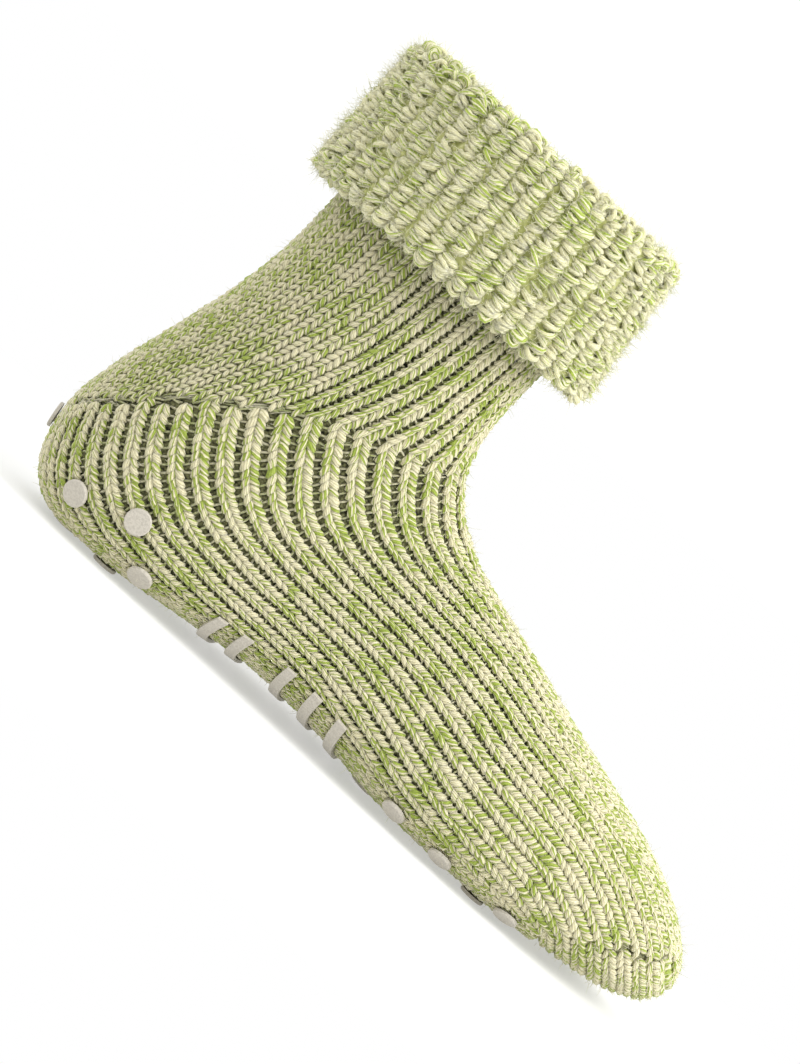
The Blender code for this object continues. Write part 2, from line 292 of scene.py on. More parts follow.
@dataclass(frozen=True)
class Wales:
    """Where the columns of stitches run on the form, and how far the ribs between them open.

    A column keeps its share of the way round a section. Above the heel's gore it bends toward the
    back, and below the gore it bends forward again. Over the toe it keeps its pitch, so the side
    columns run out at the toe's gore. The back of the leg, the toe and the sole are plain knit.
    """

    form: SockForm
    per_side: int = 23
    kink: float = 0.125
    kink_power: float = 2.2
    heel_start: float = 0.6
    heel_end: float = 10.2
    toe_start: float = 15.8
    gore_stations: Pair = (5.35, 6.85)
    gore_bend: Pair = (0.30, 0.80)
    table_rows: int = 211
    table_columns: int = 241
    foot: Pair = (8.0, 11.0)
    back_degrees: Pair = (40, 150)
    back_crowding: Pair = (0.88, 1.12)
    sole_degrees: Pair = (112, 150)
    sole_crowding: Pair = (1.0, 1.55)
    plain_back_from: Pair = (0.56, 0.36)
    plain_back_widens: Pair = (0.5, 5.3)
    plain_back_edge: float = 0.05
    plain_back_end: Pair = (-0.10, 0.15)
    plain_toe: Pair = (13.2, 15.6)
    plain_toe_slant: float = 1.5
    plain_toe_middle: float = 0.35
    plain_sole: float = 0.8
    plain_sole_shares: Pair = (0.62, 0.86)
    plain_sole_stations: Pair = (8.0, 10.0)
    rib_gap: Pair = (0.65, 1.0)
    widest_from: Pair = (-0.2, 0.1)
    widest_to: Pair = (1.5, 6.0)
    grid: tuple[Array, Array, Array] = field(init=False)

    def __post_init__(self) -> None:
        """Tabulates the angle that has each share of a section's weighted length."""
        stations = np.linspace(0, self.form.tip - self.form.blunt, self.table_rows)
        angles = np.linspace(0, math.pi, self.table_columns)
        points = self.form.at(stations[:, None], angles[None])
        steps = np.linalg.norm(np.diff(points, axis=1), axis=2)
        middle = (angles[1:] + angles[:-1]) / 2
        foot = smoothstep(*self.foot, stations)[:, None]
        back = smoothstep(*np.radians(self.back_degrees), middle)[None]
        sole = smoothstep(*np.radians(self.sole_degrees), middle)[None]
        weight = ((1 - foot) * blend(self.back_crowding, back)
                  + foot * blend(self.sole_crowding, sole))
        length = np.concatenate([np.zeros((len(stations), 1)),
                                 np.cumsum(steps * weight, axis=1)], axis=1)
        shares = np.linspace(0, 1, self.table_columns)
        angle = np.stack([np.interp(shares * row[-1], row, angles) for row in length])
        object.__setattr__(self, "grid", (stations, angle, length[:, -1]))

    def angle(self, stations: Array, share: Array) -> Array:
        """Reads the table of angles, in a line between its rows and columns.

        Args:
            stations: Fractional row numbers of the section table.
            share: Shares of the way round one side.

        Returns:
            Angles round the sections, in radians.
        """
        rows, table, _ = self.grid
        row = np.clip(np.interp(stations, rows, np.arange(len(rows))), 0, len(rows) - 1.001)
        column = np.clip(share, 0, 1) * (table.shape[1] - 1)
        low_r, low_c = row.astype(int), np.minimum(column.astype(int), table.shape[1] - 2)
        r, c = row - low_r, column - low_c
        return ((1 - r) * ((1 - c) * table[low_r, low_c] + c * table[low_r, low_c + 1])
                + r * ((1 - c) * table[low_r + 1, low_c] + c * table[low_r + 1, low_c + 1]))

    def gore_station(self, share: Array) -> Array:
        """The station where a column crosses the heel's gore."""
        first, last = self.gore_bend
        return blend(self.gore_stations, np.clip((share - first) / (last - first), 0, 1))

    def shifted(self, stations: Array, share: Array | float) -> Array:
        """A column's share of the way round at a station, with its bends.

        The bend is kink * sin(pi share), and falls off from the heel's gore both ways as the
        share of the way left to its end, to the power 2.2.

        Args:
            stations: Fractional row numbers of the section table.
            share: The column's own share, as it starts.

        Returns:
            The share at each station, past 1 where the column has run out over the toe.
        """
        gore = self.gore_station(np.asarray(share))
        above = np.clip((stations - self.heel_start) / (gore - self.heel_start), 0, 1)
        below = np.clip((self.heel_end - stations) / (self.heel_end - gore), 0, 1)
        bend = np.where(stations < gore, above, below) ** self.kink_power
        moved = share + self.kink * np.sin(np.pi * np.clip(share, 0, 1)) * bend
        rows, _, length = self.grid
        start = np.interp(self.toe_start, rows, length)
        growth = np.where(stations > self.toe_start, start / np.interp(stations, rows, length), 1)
        return moved * np.maximum(growth, 1)

    def gap(self, stations: Array, share: Array) -> Array:
        """How open the ribs are: narrower gaps on leg and instep, full ladders below the gore.

        Args:
            stations: Fractional row numbers of the section table.
            share: The column's own share.

        Returns:
            0 for plain knit without gaps, up to 1 for a full ladder.
        """
        gore = self.gore_station(share)
        below = stations - gore
        edge = blend(self.plain_back_from, smoothstep(*self.plain_back_widens, stations))
        back = (smoothstep(edge, edge + self.plain_back_edge, share)
                * (1 - smoothstep(*self.plain_back_end, below)))
        toe = smoothstep(*self.plain_toe,
                         stations + self.plain_toe_slant * (self.plain_toe_middle - share))
        sole = (self.plain_sole * smoothstep(*self.plain_sole_shares, share)
                * smoothstep(*self.plain_sole_stations, stations))
        widest = smoothstep(*self.widest_from, below) * (1 - smoothstep(*self.widest_to, below))
        plain = np.maximum(np.maximum(back, toe), sole)
        return blend(self.rib_gap, widest) * np.clip(1 - plain, 0, 1)


@dataclass
class Course:
    """A curve on the sock with what stitches need along it, all against its length in metres.

    Where it crosses the heel's gore is one of those lengths, or -1 where it doesn't.
    """

    length: Array
    points: Array
    normals: Array
    half: Array
    gap: Array
    station: Array
    shown: Array
    gore: float = -1.0
    sunk: float = 0.0
    probe: float = 0.5 * MM
    fully: float = 0.99

    def sample(self, at: Array) -> tuple[Array, Array, Array]:
        """Reads the curve.

        Args:
            at: Distances along it.

        Returns:
            Points, unit normals and half widths.
        """
        each = [np.stack([np.interp(at, self.length, v[:, k]) for k in range(3)], axis=-1)
                for v in (self.points, self.normals)]
        return each[0], unit(each[1]), np.interp(at, self.length, self.half)

    def directions(self, at: Array, normals: Array) -> tuple[Array, Array]:
        """Unit vectors in the surface, from the points just before and after each place.

        Args:
            at: Distances along the curve.
            normals: The unit normals there.

        Returns:
            Down the curve, and to its right.
        """
        down = unit(self.sample(at + self.probe)[0] - self.sample(at - self.probe)[0])
        return down, unit(np.cross(normals, down))

    def value(self, name: str, at: Array) -> Array:
        """One of the plain values at distances along the curve."""
        return np.interp(at, self.length, getattr(self, name))

    def places(self, pitch: float, random: Random) -> Array:
        """Distances one pitch apart from a random first one, where the curve is shown."""
        at = np.arange(self.length[0], self.length[-1], pitch) + random.uniform(0, pitch)
        return at[self.value("shown", at) > self.fully]


@dataclass(frozen=True)
class Layout:
    """Makes the courses of the sock: its wales, the gaps between them, and the toe's patch."""

    form: SockForm
    wales: Wales
    samples: int = 900
    blunt: float = 0.03
    hidden_above: float = 137 * MM
    last_share: float = 1.005
    gore_shares: Pair = (0.33, 0.88)
    patch_pitch: float = 4.7 * MM
    patch_planes: Pair = (160.5 * MM, 195 * MM)
    patch_last: float = 197.4 * MM
    patch_from: float = 204 * MM
    patch_over_gore: float = 1.5 * MM
    patch_station: float = 13.5
    patch_degrees: Pair = (15, 180)
    patch_grid: tuple[int, int] = (500, 260)
    patch_flattest: float = 0.05
    patch_widest: float = 4.2 * MM
    patch_sunk: float = 0.35 * MM

    def course(self, share: float, side: int) -> Course:
        """The curve of one column, from under the cuff to the toe's gore.

        Its half width is half the distance between its two edges, measured across the curve.

        Args:
            share: The column's share of the way round.
            side: 1 or -1.

        Returns:
            The course with all its values.
        """
        stations = np.linspace(0.0, self.form.tip - self.blunt, self.samples)
        wide = 0.5 / self.wales.per_side
        points, left, right = (
            self.form.at(stations, side * self.signed_angle(
                stations, self.wales.shifted(stations, share + offset)))
            for offset in (0.0, -wide, wide))
        moved = self.wales.shifted(stations, share)
        normals = self.form.normal(stations, side * self.signed_angle(stations, moved))
        tangent = unit(np.gradient(points, axis=0))
        half = np.linalg.norm(np.cross(right - left, tangent), axis=1) / 2
        shown = ((points[:, 2] < self.hidden_above) & (moved < self.last_share)
                 & ~self.form.under_toe(points))
        length = run_along(points)
        made = Course(length, points, normals, half,
                      self.wales.gap(stations, np.full_like(stations, share)), stations, shown)
        low, high = self.gore_shares
        if low < share < high:
            gore = self.wales.gore_station(np.array(share))
            made.gore = float(np.interp(gore, stations, length))
        return made

    def signed_angle(self, stations: Array, share: Array) -> Array:
        """The angle of a share, which carries on over the front and back middle lines."""
        angle = self.wales.angle(stations, np.where(share > 1, 2 - share, np.abs(share)))
        return np.where(share < 0, -angle, np.where(share > 1, TURN - angle, angle))

    def patch(self) -> list[Course]:
        """Curves where slanted planes cut the toe, each from gore to gore under the toe.

        The planes are one pitch apart, so where the form faces them at a cosine c their curves
        are pitch / sqrt(1 - c^2) apart, and the stitches are as wide.

        Returns:
            A course for each plane.
        """
        form = self.form
        stations = np.linspace(self.patch_station, form.tip - form.blunt, self.patch_grid[0])
        angles = np.linspace(*np.radians(self.patch_degrees), self.patch_grid[1])
        points = form.at(stations[:, None], angles[None])
        level = np.maximum.accumulate(form.plane(points), axis=0)
        planes = np.append(np.arange(*self.patch_planes, self.patch_pitch), self.patch_last)
        both_angle = np.concatenate([-angles, angles[::-1]])
        made = []
        for plane in planes:
            at = np.array([np.interp(plane, column, stations) for column in level.T])
            inside = (plane < level[-1]) & (plane > level[0])
            both_at = np.concatenate([at, at[::-1]])
            line = form.at(both_at, both_angle)
            shown = (np.concatenate([inside, inside[::-1]])
                     & (form.over_gore(line) < self.patch_over_gore)
                     & (form.from_heel(line) > self.patch_from))
            normals = form.normal(both_at, both_angle)
            faced = np.abs(normals @ np.array(form.plane_normal))
            half = (self.patch_pitch / 2
                    / np.sqrt(np.maximum(1 - faced ** 2, self.patch_flattest)))
            made.append(Course(run_along(line), line, normals,
                               np.minimum(half, self.patch_widest), np.zeros(len(line)), both_at,
                               shown, sunk=self.patch_sunk))
        return made

    def share_at(self, stations: Array, angles: Array) -> Array:
        """The share of the column that passes each angle.

        Args:
            stations: Fractional row numbers of the section table.
            angles: Angles once round, in radians.

        Returns:
            Shares, a row for each station.
        """
        fine = np.linspace(0, 1, self.wales.table_columns)[None]
        rows = self.wales.angle(stations[:, None], self.wales.shifted(stations[:, None], fine))
        folded = np.minimum(angles, TURN - angles)
        return np.stack([np.interp(folded, row, fine[0]) for row in rows])


# Yarn

@dataclass
class Tubes:
    """Batches of short yarn tubes, each a row of rings, collected for one mesh."""

    sides: int = 5
    points: list[Array] = field(default_factory=list)
    along: list[Array] = field(default_factory=list)
    tones: list[Array] = field(default_factory=list)

    def add(self, centres: Array, up: Array, radii: Array, tones: Array, turns: Array,
            lumps: Array | None = None) -> None:
        """Adds n tubes of r rings each.

        A ring is its centre plus radius times cos of the angle along up, and times sin along
        the side, which is the tangent crossed with up.

        Args:
            centres: Ring centres, n by r by 3, in metres.
            up: Rough outward directions of the same shape.
            radii: Ring radii, n by r, in metres.
            tones: One value from 0 to 1 for each tube.
            turns: Where each tube starts in its yarn's twist, in millimetres of yarn.
            lumps: A factor on the radius for each point, n by r by sides.
        """
        tangent = unit(np.gradient(centres, axis=1))
        side = unit(np.cross(tangent, up))
        raised = np.cross(side, tangent)
        angle = np.arange(self.sides) * TURN / self.sides
        ring = (raised[:, :, None] * np.cos(angle)[:, None]
                + side[:, :, None] * np.sin(angle)[:, None])
        if lumps is not None:
            ring = ring * lumps[..., None]
        self.points.append(centres[:, :, None] + radii[:, :, None, None] * ring)
        self.along.append(run_along(centres) / MM + turns[:, None])
        self.tones.append(tones)

    def mesh(self, name: str) -> bpy.types.Object:
        """Joins all the tubes, with closed ends and their yarn coordinates.

        The map "yarn" has millimetres along the yarn and turns round it, and the attribute "tone"
        a value for each tube.

        Args:
            name: Name of the piece.

        Returns:
            One mesh object.
        """
        k = self.sides
        points, quads, caps, quad_uv, cap_uv, tones = [], [], [], [], [], []
        base = 0
        for rings, along, tone in zip(self.points, self.along, self.tones):
            n, r = rings.shape[:2]
            starts = base + np.arange(n)[:, None, None] * r * k
            quads.append((starts + grid_faces(r, k)[None, :, [0, 3, 2, 1]]).reshape(-1, 4))
            low, high = (np.repeat(a, k, axis=1) for a in (along[:, :-1], along[:, 1:]))
            turn = np.broadcast_to(np.tile(np.arange(k) / k, r - 1), low.shape)
            quad_uv.append(np.stack([np.stack([low, turn], -1), np.stack([high, turn], -1),
                                     np.stack([high, turn + 1 / k], -1),
                                     np.stack([low, turn + 1 / k], -1)], axis=2).reshape(-1, 2))
            last = (r - 1) * k + np.arange(k)[::-1]
            caps.append(np.concatenate([starts[:, 0] + np.arange(k), starts[:, 0] + last]))
            cap_turn = np.broadcast_to(np.arange(k) / k, (n, k))
            for end in (along[:, :1], along[:, -1:]):
                cap_uv.append(np.stack([np.broadcast_to(end, (n, k)), cap_turn], -1)
                              .reshape(-1, 2))
            points.append(rings.reshape(-1, 3))
            tones.append(np.repeat(tone, r * k))
            base += n * r * k
        faces = [np.concatenate(quads), np.concatenate(caps)]
        return solid_mesh(name, np.concatenate(points), faces,
                          np.concatenate([*quad_uv, *cap_uv]), np.concatenate(tones))


def solid_mesh(name: str, points: Array, faces: list[Array], uv: Array | None = None,
               tones: Array | None = None) -> bpy.types.Object:
    """Makes a smooth-shaded mesh from arrays.

    Args:
        name: Name of the object and its mesh.
        points: Corners, in metres.
        faces: Arrays of faces, one array for each number of corners.
        uv: Yarn coordinates for each corner of each face, in the faces' order.
        tones: One value for each point.

    Returns:
        The object, linked to the scene at the origin.
    """
    mesh = bpy.data.meshes.new(name)
    loops = np.concatenate([f.ravel() for f in faces]).astype(np.int32)
    sizes = np.concatenate([np.full(len(f), f.shape[1]) for f in faces])
    mesh.vertices.add(len(points))
    mesh.vertices.foreach_set("co", points.astype(np.float32).ravel())
    mesh.loops.add(len(loops))
    mesh.loops.foreach_set("vertex_index", loops)
    mesh.polygons.add(len(sizes))
    starts = np.concatenate([[0], np.cumsum(sizes)[:-1]]).astype(np.int32)
    mesh.polygons.foreach_set("loop_start", starts)
    mesh.update(calc_edges=True)
    mesh.shade_smooth()
    if uv is not None:
        layer = mesh.uv_layers.new(name="yarn")
        layer.data.foreach_set("uv", uv.astype(np.float32).ravel())
    if tones is not None:
        tone = mesh.attributes.new("tone", "FLOAT", "POINT")
        tone.data.foreach_set("value", tones.astype(np.float32))
    obj = bpy.data.objects.new(name, mesh)
    bpy.context.scene.collection.objects.link(obj)
    return obj


def grid_faces(rows: int, columns: int) -> Array:
    """Quads over rows of points, each row closed into a ring.

    Args:
        rows: How many rings.
        columns: Points in each.

    Returns:
        Four point numbers for each face.
    """
    first = np.arange(rows - 1)[:, None] * columns
    here = (first + np.arange(columns)[None]).ravel()
    after = (first + (np.arange(columns) + 1)[None] % columns).ravel()
    return np.stack([here, after, after + columns, here + columns], axis=1)


# Finishes

def add_node(tree: bpy.types.NodeTree, kind: str, settings: dict[str, Any] | None = None,
             inputs: dict[int | str, Any] | None = None,
             stops: tuple[tuple[float, str], ...] = ()) -> bpy.types.Node:
    """Adds a node, sets its properties and colour stops, and links or sets its inputs.

    Args:
        tree: The material's node tree.
        kind: The node's Blender type name.
        settings: Properties of the node.
        inputs: Socket names or numbers, each with an output socket to link or a value.
        stops: Places and hex colours of its colour ramp, where it has one.

    Returns:
        The new node.
    """
    node = tree.nodes.new(kind)
    for key, value in (settings or {}).items():
        setattr(node, key, value)
    for key, value in (inputs or {}).items():
        if isinstance(value, bpy.types.NodeSocket):
            tree.links.new(value, node.inputs[key])
        else:
            node.inputs[key].default_value = value
    while stops and len(node.color_ramp.elements) < len(stops):
        node.color_ramp.elements.new(1.0)
    for number, (place, code) in enumerate(stops):
        node.color_ramp.elements[number].position = place
        node.color_ramp.elements[number].color = linear(code)
    return node


def new_finish(name: str, constants: dict[str, Any]
               ) -> tuple[bpy.types.Material, bpy.types.NodeTree, bpy.types.Node]:
    """Starts a material.

    Args:
        name: Its name.
        constants: Values set on the shader's own sockets.

    Returns:
        The material, its node tree and its shader.
    """
    made = bpy.data.materials.new(name)
    made.use_nodes = True
    shader = made.node_tree.nodes["Principled BSDF"]
    for socket, constant in constants.items():
        shader.inputs[socket].default_value = constant
    return made, made.node_tree, shader


@dataclass(frozen=True)
class MarledYarn:
    """Wool-mix yarn of eight strands, with green fibre drawn in beside every second one.

    Wool is matte with a soft bright edge, so its roughness is high and it has sheen. The strands
    wind round the yarn once in twist_mm, which draws the slanting lines on each stitch, and the
    furrows between them are painted dark olive, as painted shade.
    """

    name: str
    cream: str = "#D8D1B4"
    cream_shade: str = "#CAC5A0"
    green: str = "#8FA238"
    # Painted shade: the furrows between strands are multiplied toward this olive.
    furrow_shade_tint: str = "#A09C54"
    edge_tint: str = "#FFFFE4"
    green_share: float = 0.33
    green_edge: float = 7.0
    green_paling: float = 0.16
    tone_spread: float = 0.75
    patch_mm: float = 9.0
    patch_spread: float = 1.2
    strands: float = 8.0
    twist_mm: float = 13.0
    twist_drift: float = 0.7
    furrow_shade: float = 0.42
    furrow_shade_power: float = 3.0
    strand_bump: float = 0.8
    fibre_bump: float = 0.8
    fibre_mm: float = 0.40
    bump_mm: float = 0.30
    roughness: float = 0.92
    sheen: float = 0.2
    scatter: float = 0.5
    scatter_mm: float = 1.3

    def steps(self) -> tuple[tuple[Any, ...], ...]:
        """The arithmetic of the pattern, a row for each step: result, operation and terms.

        The turn round the yarn goes on along it, so strands wind. A strand's distance off its
        middle makes the painted shade of its furrow and the rounding, and each pair of strands is
        green up to the amount that its tube and its place have.

        Returns:
            The rows, whose terms are numbers, given values or results of rows before.
        """
        return (
            ("wound", "MULTIPLY", "along", 1 / self.twist_mm),
            ("turn", "ADD", "round", "wound"),
            ("drifted", "MULTIPLY", "drift", self.twist_drift),
            ("turn", "ADD", "turn", "drifted"),
            ("pair", "MULTIPLY", "turn", self.strands / 2),
            ("pair", "FRACT", "pair"),
            ("strand", "MULTIPLY", "turn", self.strands),
            ("strand", "FRACT", "strand"),
            ("off_middle", "SUBTRACT", "strand", 0.5),
            ("off_middle", "ABSOLUTE", "off_middle"),
            ("off_middle", "MULTIPLY", "off_middle", 2.0),
            ("furrow_shade", "POWER", "off_middle", self.furrow_shade_power),
            ("furrow_shade", "MULTIPLY", "furrow_shade", self.furrow_shade),
            ("toned", "SUBTRACT", "tone", 0.5),
            ("toned", "MULTIPLY", "toned", self.tone_spread),
            ("patched", "SUBTRACT", "drift", 0.5),
            ("patched", "MULTIPLY", "patched", self.patch_spread),
            ("amount", "ADD", "toned", "patched"),
            ("amount", "ADD", "amount", self.green_share),
            ("green", "SUBTRACT", "amount", "pair"),
            ("green", "MULTIPLY", "green", self.green_edge),
            ("green", "ADD", "green", 0.5),
            ("paling", "MULTIPLY", "fibres", self.green_paling),
            ("rounding", "POWER", "off_middle", 2.0),
            ("rounding", "SUBTRACT", 1.0, "rounding"),
            ("rounding", "MULTIPLY", "rounding", self.strand_bump),
            ("felting", "MULTIPLY", "fibres", self.fibre_bump),
            ("height", "ADD", "rounding", "felting"),
        )

    def make(self) -> bpy.types.Material:
        """Makes the material, which reads the map "yarn" and the attribute "tone".

        Returns:
            The material.
        """
        made, tree, shader = new_finish(self.name, {
            "Roughness": self.roughness, "Specular IOR Level": 0.15,
            "Sheen Weight": self.sheen, "Sheen Roughness": 0.4,
            "Sheen Tint": linear(self.edge_tint), "Subsurface Weight": self.scatter,
            "Subsurface Radius": (1.0, 1.0, 0.9), "Subsurface Scale": self.scatter_mm * MM})
        strand_map = add_node(tree, "ShaderNodeUVMap", {"uv_map": "yarn"}).outputs[0]
        run = add_node(tree, "ShaderNodeSeparateXYZ", inputs={0: strand_map}).outputs
        place = add_node(tree, "ShaderNodeTexCoord").outputs["Object"]
        tone = add_node(tree, "ShaderNodeAttribute", {"attribute_name": "tone"}).outputs["Fac"]
        drift = add_node(tree, "ShaderNodeTexNoise", inputs={
            "Vector": place, "Scale": 1 / (self.patch_mm * MM), "Detail": 1.0}).outputs[0]
        fibres = add_node(tree, "ShaderNodeTexNoise", inputs={
            "Vector": place, "Scale": 1 / (self.fibre_mm * MM), "Detail": 3.0,
            "Roughness": 0.7}).outputs[0]
        value = {"along": run[0], "round": run[1], "tone": tone, "drift": drift,
                 "fibres": fibres}
        for result, operation, *terms in self.steps():
            value[result] = add_node(tree, "ShaderNodeMath", {"operation": operation}, {
                number: value.get(term, term) for number, term in enumerate(terms)}).outputs[0]
        is_green = add_node(tree, "ShaderNodeClamp", inputs={0: value["green"]}).outputs[0]
        creams = add_node(tree, "ShaderNodeValToRGB", inputs={0: fibres}, stops=(
            (0.30, self.cream_shade), (0.62, self.cream))).outputs[0]
        greens = add_node(tree, "ShaderNodeMix", {"data_type": "RGBA"}, {
            0: value["paling"], MIX_FIRST: linear(self.green),
            MIX_SECOND: linear(self.cream)}).outputs[MIX_RESULT]
        colour = add_node(tree, "ShaderNodeMix", {"data_type": "RGBA"}, {
            0: is_green, MIX_FIRST: creams, MIX_SECOND: greens}).outputs[MIX_RESULT]
        # Painted shade: the colour darkens toward olive in the furrows between strands.
        shaded = add_node(tree, "ShaderNodeMix", {"data_type": "RGBA", "blend_type": "MULTIPLY"}, {
            0: value["furrow_shade"], MIX_FIRST: colour,
            MIX_SECOND: linear(self.furrow_shade_tint)}).outputs[MIX_RESULT]
        bump = add_node(tree, "ShaderNodeBump", inputs={
            "Strength": 0.8, "Distance": self.bump_mm * MM, "Height": value["height"]})
        tree.links.new(shaded, shader.inputs["Base Color"])
        tree.links.new(bump.outputs[0], shader.inputs["Normal"])
        return made


@dataclass(frozen=True)
class TerryLining:
    """The knit's reverse, a short looped pile: matte, soft, with painted shade between its loops.

    Where the attribute "tone" is 0 the knit over it is closed, and what shows between its
    stitches is packed yarn, in one plain colour darkened as painted shade. Elsewhere it is the
    pile, its light colour on the loops and its dark one between them, as painted shade.
    """

    name: str
    light: str
    dark: str
    packed: str
    pile_mm: float = 1.6
    depth_mm: float = 0.7

    def make(self) -> bpy.types.Material:
        """Makes the material, its pile a cell pattern on Object coordinates.

        Each cell is painted darker toward its edge, as painted shade between the loops.

        Returns:
            The material.
        """
        made, tree, shader = new_finish(self.name, {
            "Roughness": 0.95, "Specular IOR Level": 0.1, "Sheen Weight": 0.3})
        place = add_node(tree, "ShaderNodeTexCoord").outputs["Object"]
        tone = add_node(tree, "ShaderNodeAttribute", {"attribute_name": "tone"}).outputs["Fac"]
        pile = add_node(tree, "ShaderNodeTexVoronoi", {"feature": "SMOOTH_F1"}, {
            "Vector": place, "Scale": 1 / (self.pile_mm * MM)}).outputs[0]
        # Painted shade: the pile's colour darkens from the middle of each loop toward its cell's
        # edge.
        loops = add_node(tree, "ShaderNodeValToRGB", inputs={0: pile}, stops=(
            (0.1, self.light), (0.7, self.dark))).outputs[0]
        base = add_node(tree, "ShaderNodeMix", {"data_type": "RGBA"}, {
            0: tone, MIX_FIRST: linear(self.packed), MIX_SECOND: loops}).outputs[MIX_RESULT]
        bump = add_node(tree, "ShaderNodeBump", {"invert": True}, {
            "Strength": 1.0, "Distance": self.depth_mm * MM, "Height": pile})
        tree.links.new(base, shader.inputs["Base Color"])
        tree.links.new(bump.outputs[0], shader.inputs["Normal"])
        return made


@dataclass(frozen=True)
class SiliconePrint:
    """Anti-slip silicone, screen printed and cured: satin, slightly pitted, grey-beige."""

    name: str = "cured_silicone_print"
    light: str = "#BBB5A9"
    dark: str = "#ACA69A"
    pit_mm: float = 0.6
    depth_mm: float = 0.25

    def make(self) -> bpy.types.Material:
        """Makes the material, with pits and a mottle on Object coordinates.

        Returns:
            The material.
        """
        made, tree, shader = new_finish(self.name, {
            "Roughness": 0.5, "Specular IOR Level": 0.4})
        place = add_node(tree, "ShaderNodeTexCoord").outputs["Object"]
        pits = add_node(tree, "ShaderNodeTexNoise", inputs={
            "Vector": place, "Scale": 1 / (self.pit_mm * MM), "Detail": 4.0}).outputs[0]
        mottle = add_node(tree, "ShaderNodeValToRGB", inputs={0: pits}, stops=(
            (0.35, self.dark), (0.6, self.light))).outputs[0]
        bump = add_node(tree, "ShaderNodeBump", inputs={
            "Strength": 0.7, "Distance": self.depth_mm * MM, "Height": pits})
        tree.links.new(mottle, shader.inputs["Base Color"])
        tree.links.new(bump.outputs[0], shader.inputs["Normal"])
        return made


def dress(obj: bpy.types.Object, finish: bpy.types.Material,
          stands_for: tuple[str, ...] = ()) -> None:
    """Gives a piece its finish and its body, and logs it.

    Args:
        obj: The piece.
        finish: Its material.
        stands_for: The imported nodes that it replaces.
    """
    obj.data.materials.append(finish)
    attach(obj, "root")
    if stands_for:
        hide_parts(*stands_for)
    triangles = len(obj.data.loops) - 2 * len(obj.data.polygons)
    log.info("%s: %d triangles", obj.name, triangles)


# Sub-assemblies

class YarnLeg(NamedTuple):
    """One of the two legs of a stitch: its side of the wale, its reach down it, its radius."""

    way: int
    reach: float
    radius: float


@dataclass(frozen=True)
class Stitch:
    """Sizes of one stitch.

    Its reach, thickness, edge and inset are factors, in plain knit and in a fully open rib.
    """

    legs: tuple[YarnLeg, YarnLeg] = (YarnLeg(-1, 3.9 * MM, 0.92 * MM),
                                     YarnLeg(1, 3.3 * MM, 1.04 * MM))
    pitch: float = 2.45 * MM
    rings: int = 4
    proud: float = 0.20 * MM
    usual_half: float = 2.7 * MM
    size_limits: Pair = (0.55, 1.35)
    reach: Pair = (0.80, 1.00)
    thickness: Pair = (1.15, 1.00)
    edge: Pair = (1.00, 0.83)
    inset: Pair = (0.48, 0.80)
    start: float = 0.06
    splay: float = 0.95
    tuck_start: float = 1.15 * MM
    tuck_end: float = 0.80 * MM
    thin_end: float = 0.80
    stray_down: float = 0.10 * MM
    stray_aside: float = 0.06 * MM
    stray_deep: float = 0.10 * MM
    uneven: float = 0.05

    def lay(self, course: Course, at: Array, leg: YarnLeg, random: Random
            ) -> tuple[Array, Array, Array]:
        """Lays one leg of each stitch.

        With q from 0 to 1 along the leg, it goes reach * q down the wale, less in plain knit.
        Sideways it goes as q^0.95 from near the middle to where its outer edge meets the edge of
        the rib. Its top stands just proud of the form, but for a tuck at both ends:
        1.15 (1 - q)^3 + 0.8 q^5 millimetres.

        Args:
            course: The wale.
            at: Where the stitches start along it, in metres.
            leg: Which leg.
            random: The piece's random numbers.

        Returns:
            Centres and outward directions, n by rings by 3, and radii, n by rings.
        """
        q = np.linspace(0, 1, self.rings)
        each = (len(at), 1)
        gap = course.value("gap", at)[:, None]
        down = (at[:, None] + leg.reach * blend(self.reach, gap) * q
                + random.normal(0, self.stray_down, each))
        points, normals, half = course.sample(down)
        _, right = course.directions(down, normals)
        radii = (leg.radius * np.clip(half / self.usual_half, *self.size_limits)
                 * blend(self.thickness, gap))
        edge = half * blend(self.edge, gap) - radii * blend(self.inset, gap)
        start = self.start * half
        across = (leg.way * (start + (edge - start) * q ** self.splay)
                  + random.normal(0, self.stray_aside, each))
        depth = (radii - self.proud + course.sunk + self.tuck_start * (1 - q) ** 3
                 + self.tuck_end * q ** 5 + random.normal(0, self.stray_deep, each))
        centres = points + across[..., None] * right - depth[..., None] * normals
        swell = self.thin_end + (1 - self.thin_end) * np.sin(math.pi * np.clip(q * 1.1, 0, 1))
        return centres, normals, radii * swell * (1 + random.normal(0, self.uneven, each))


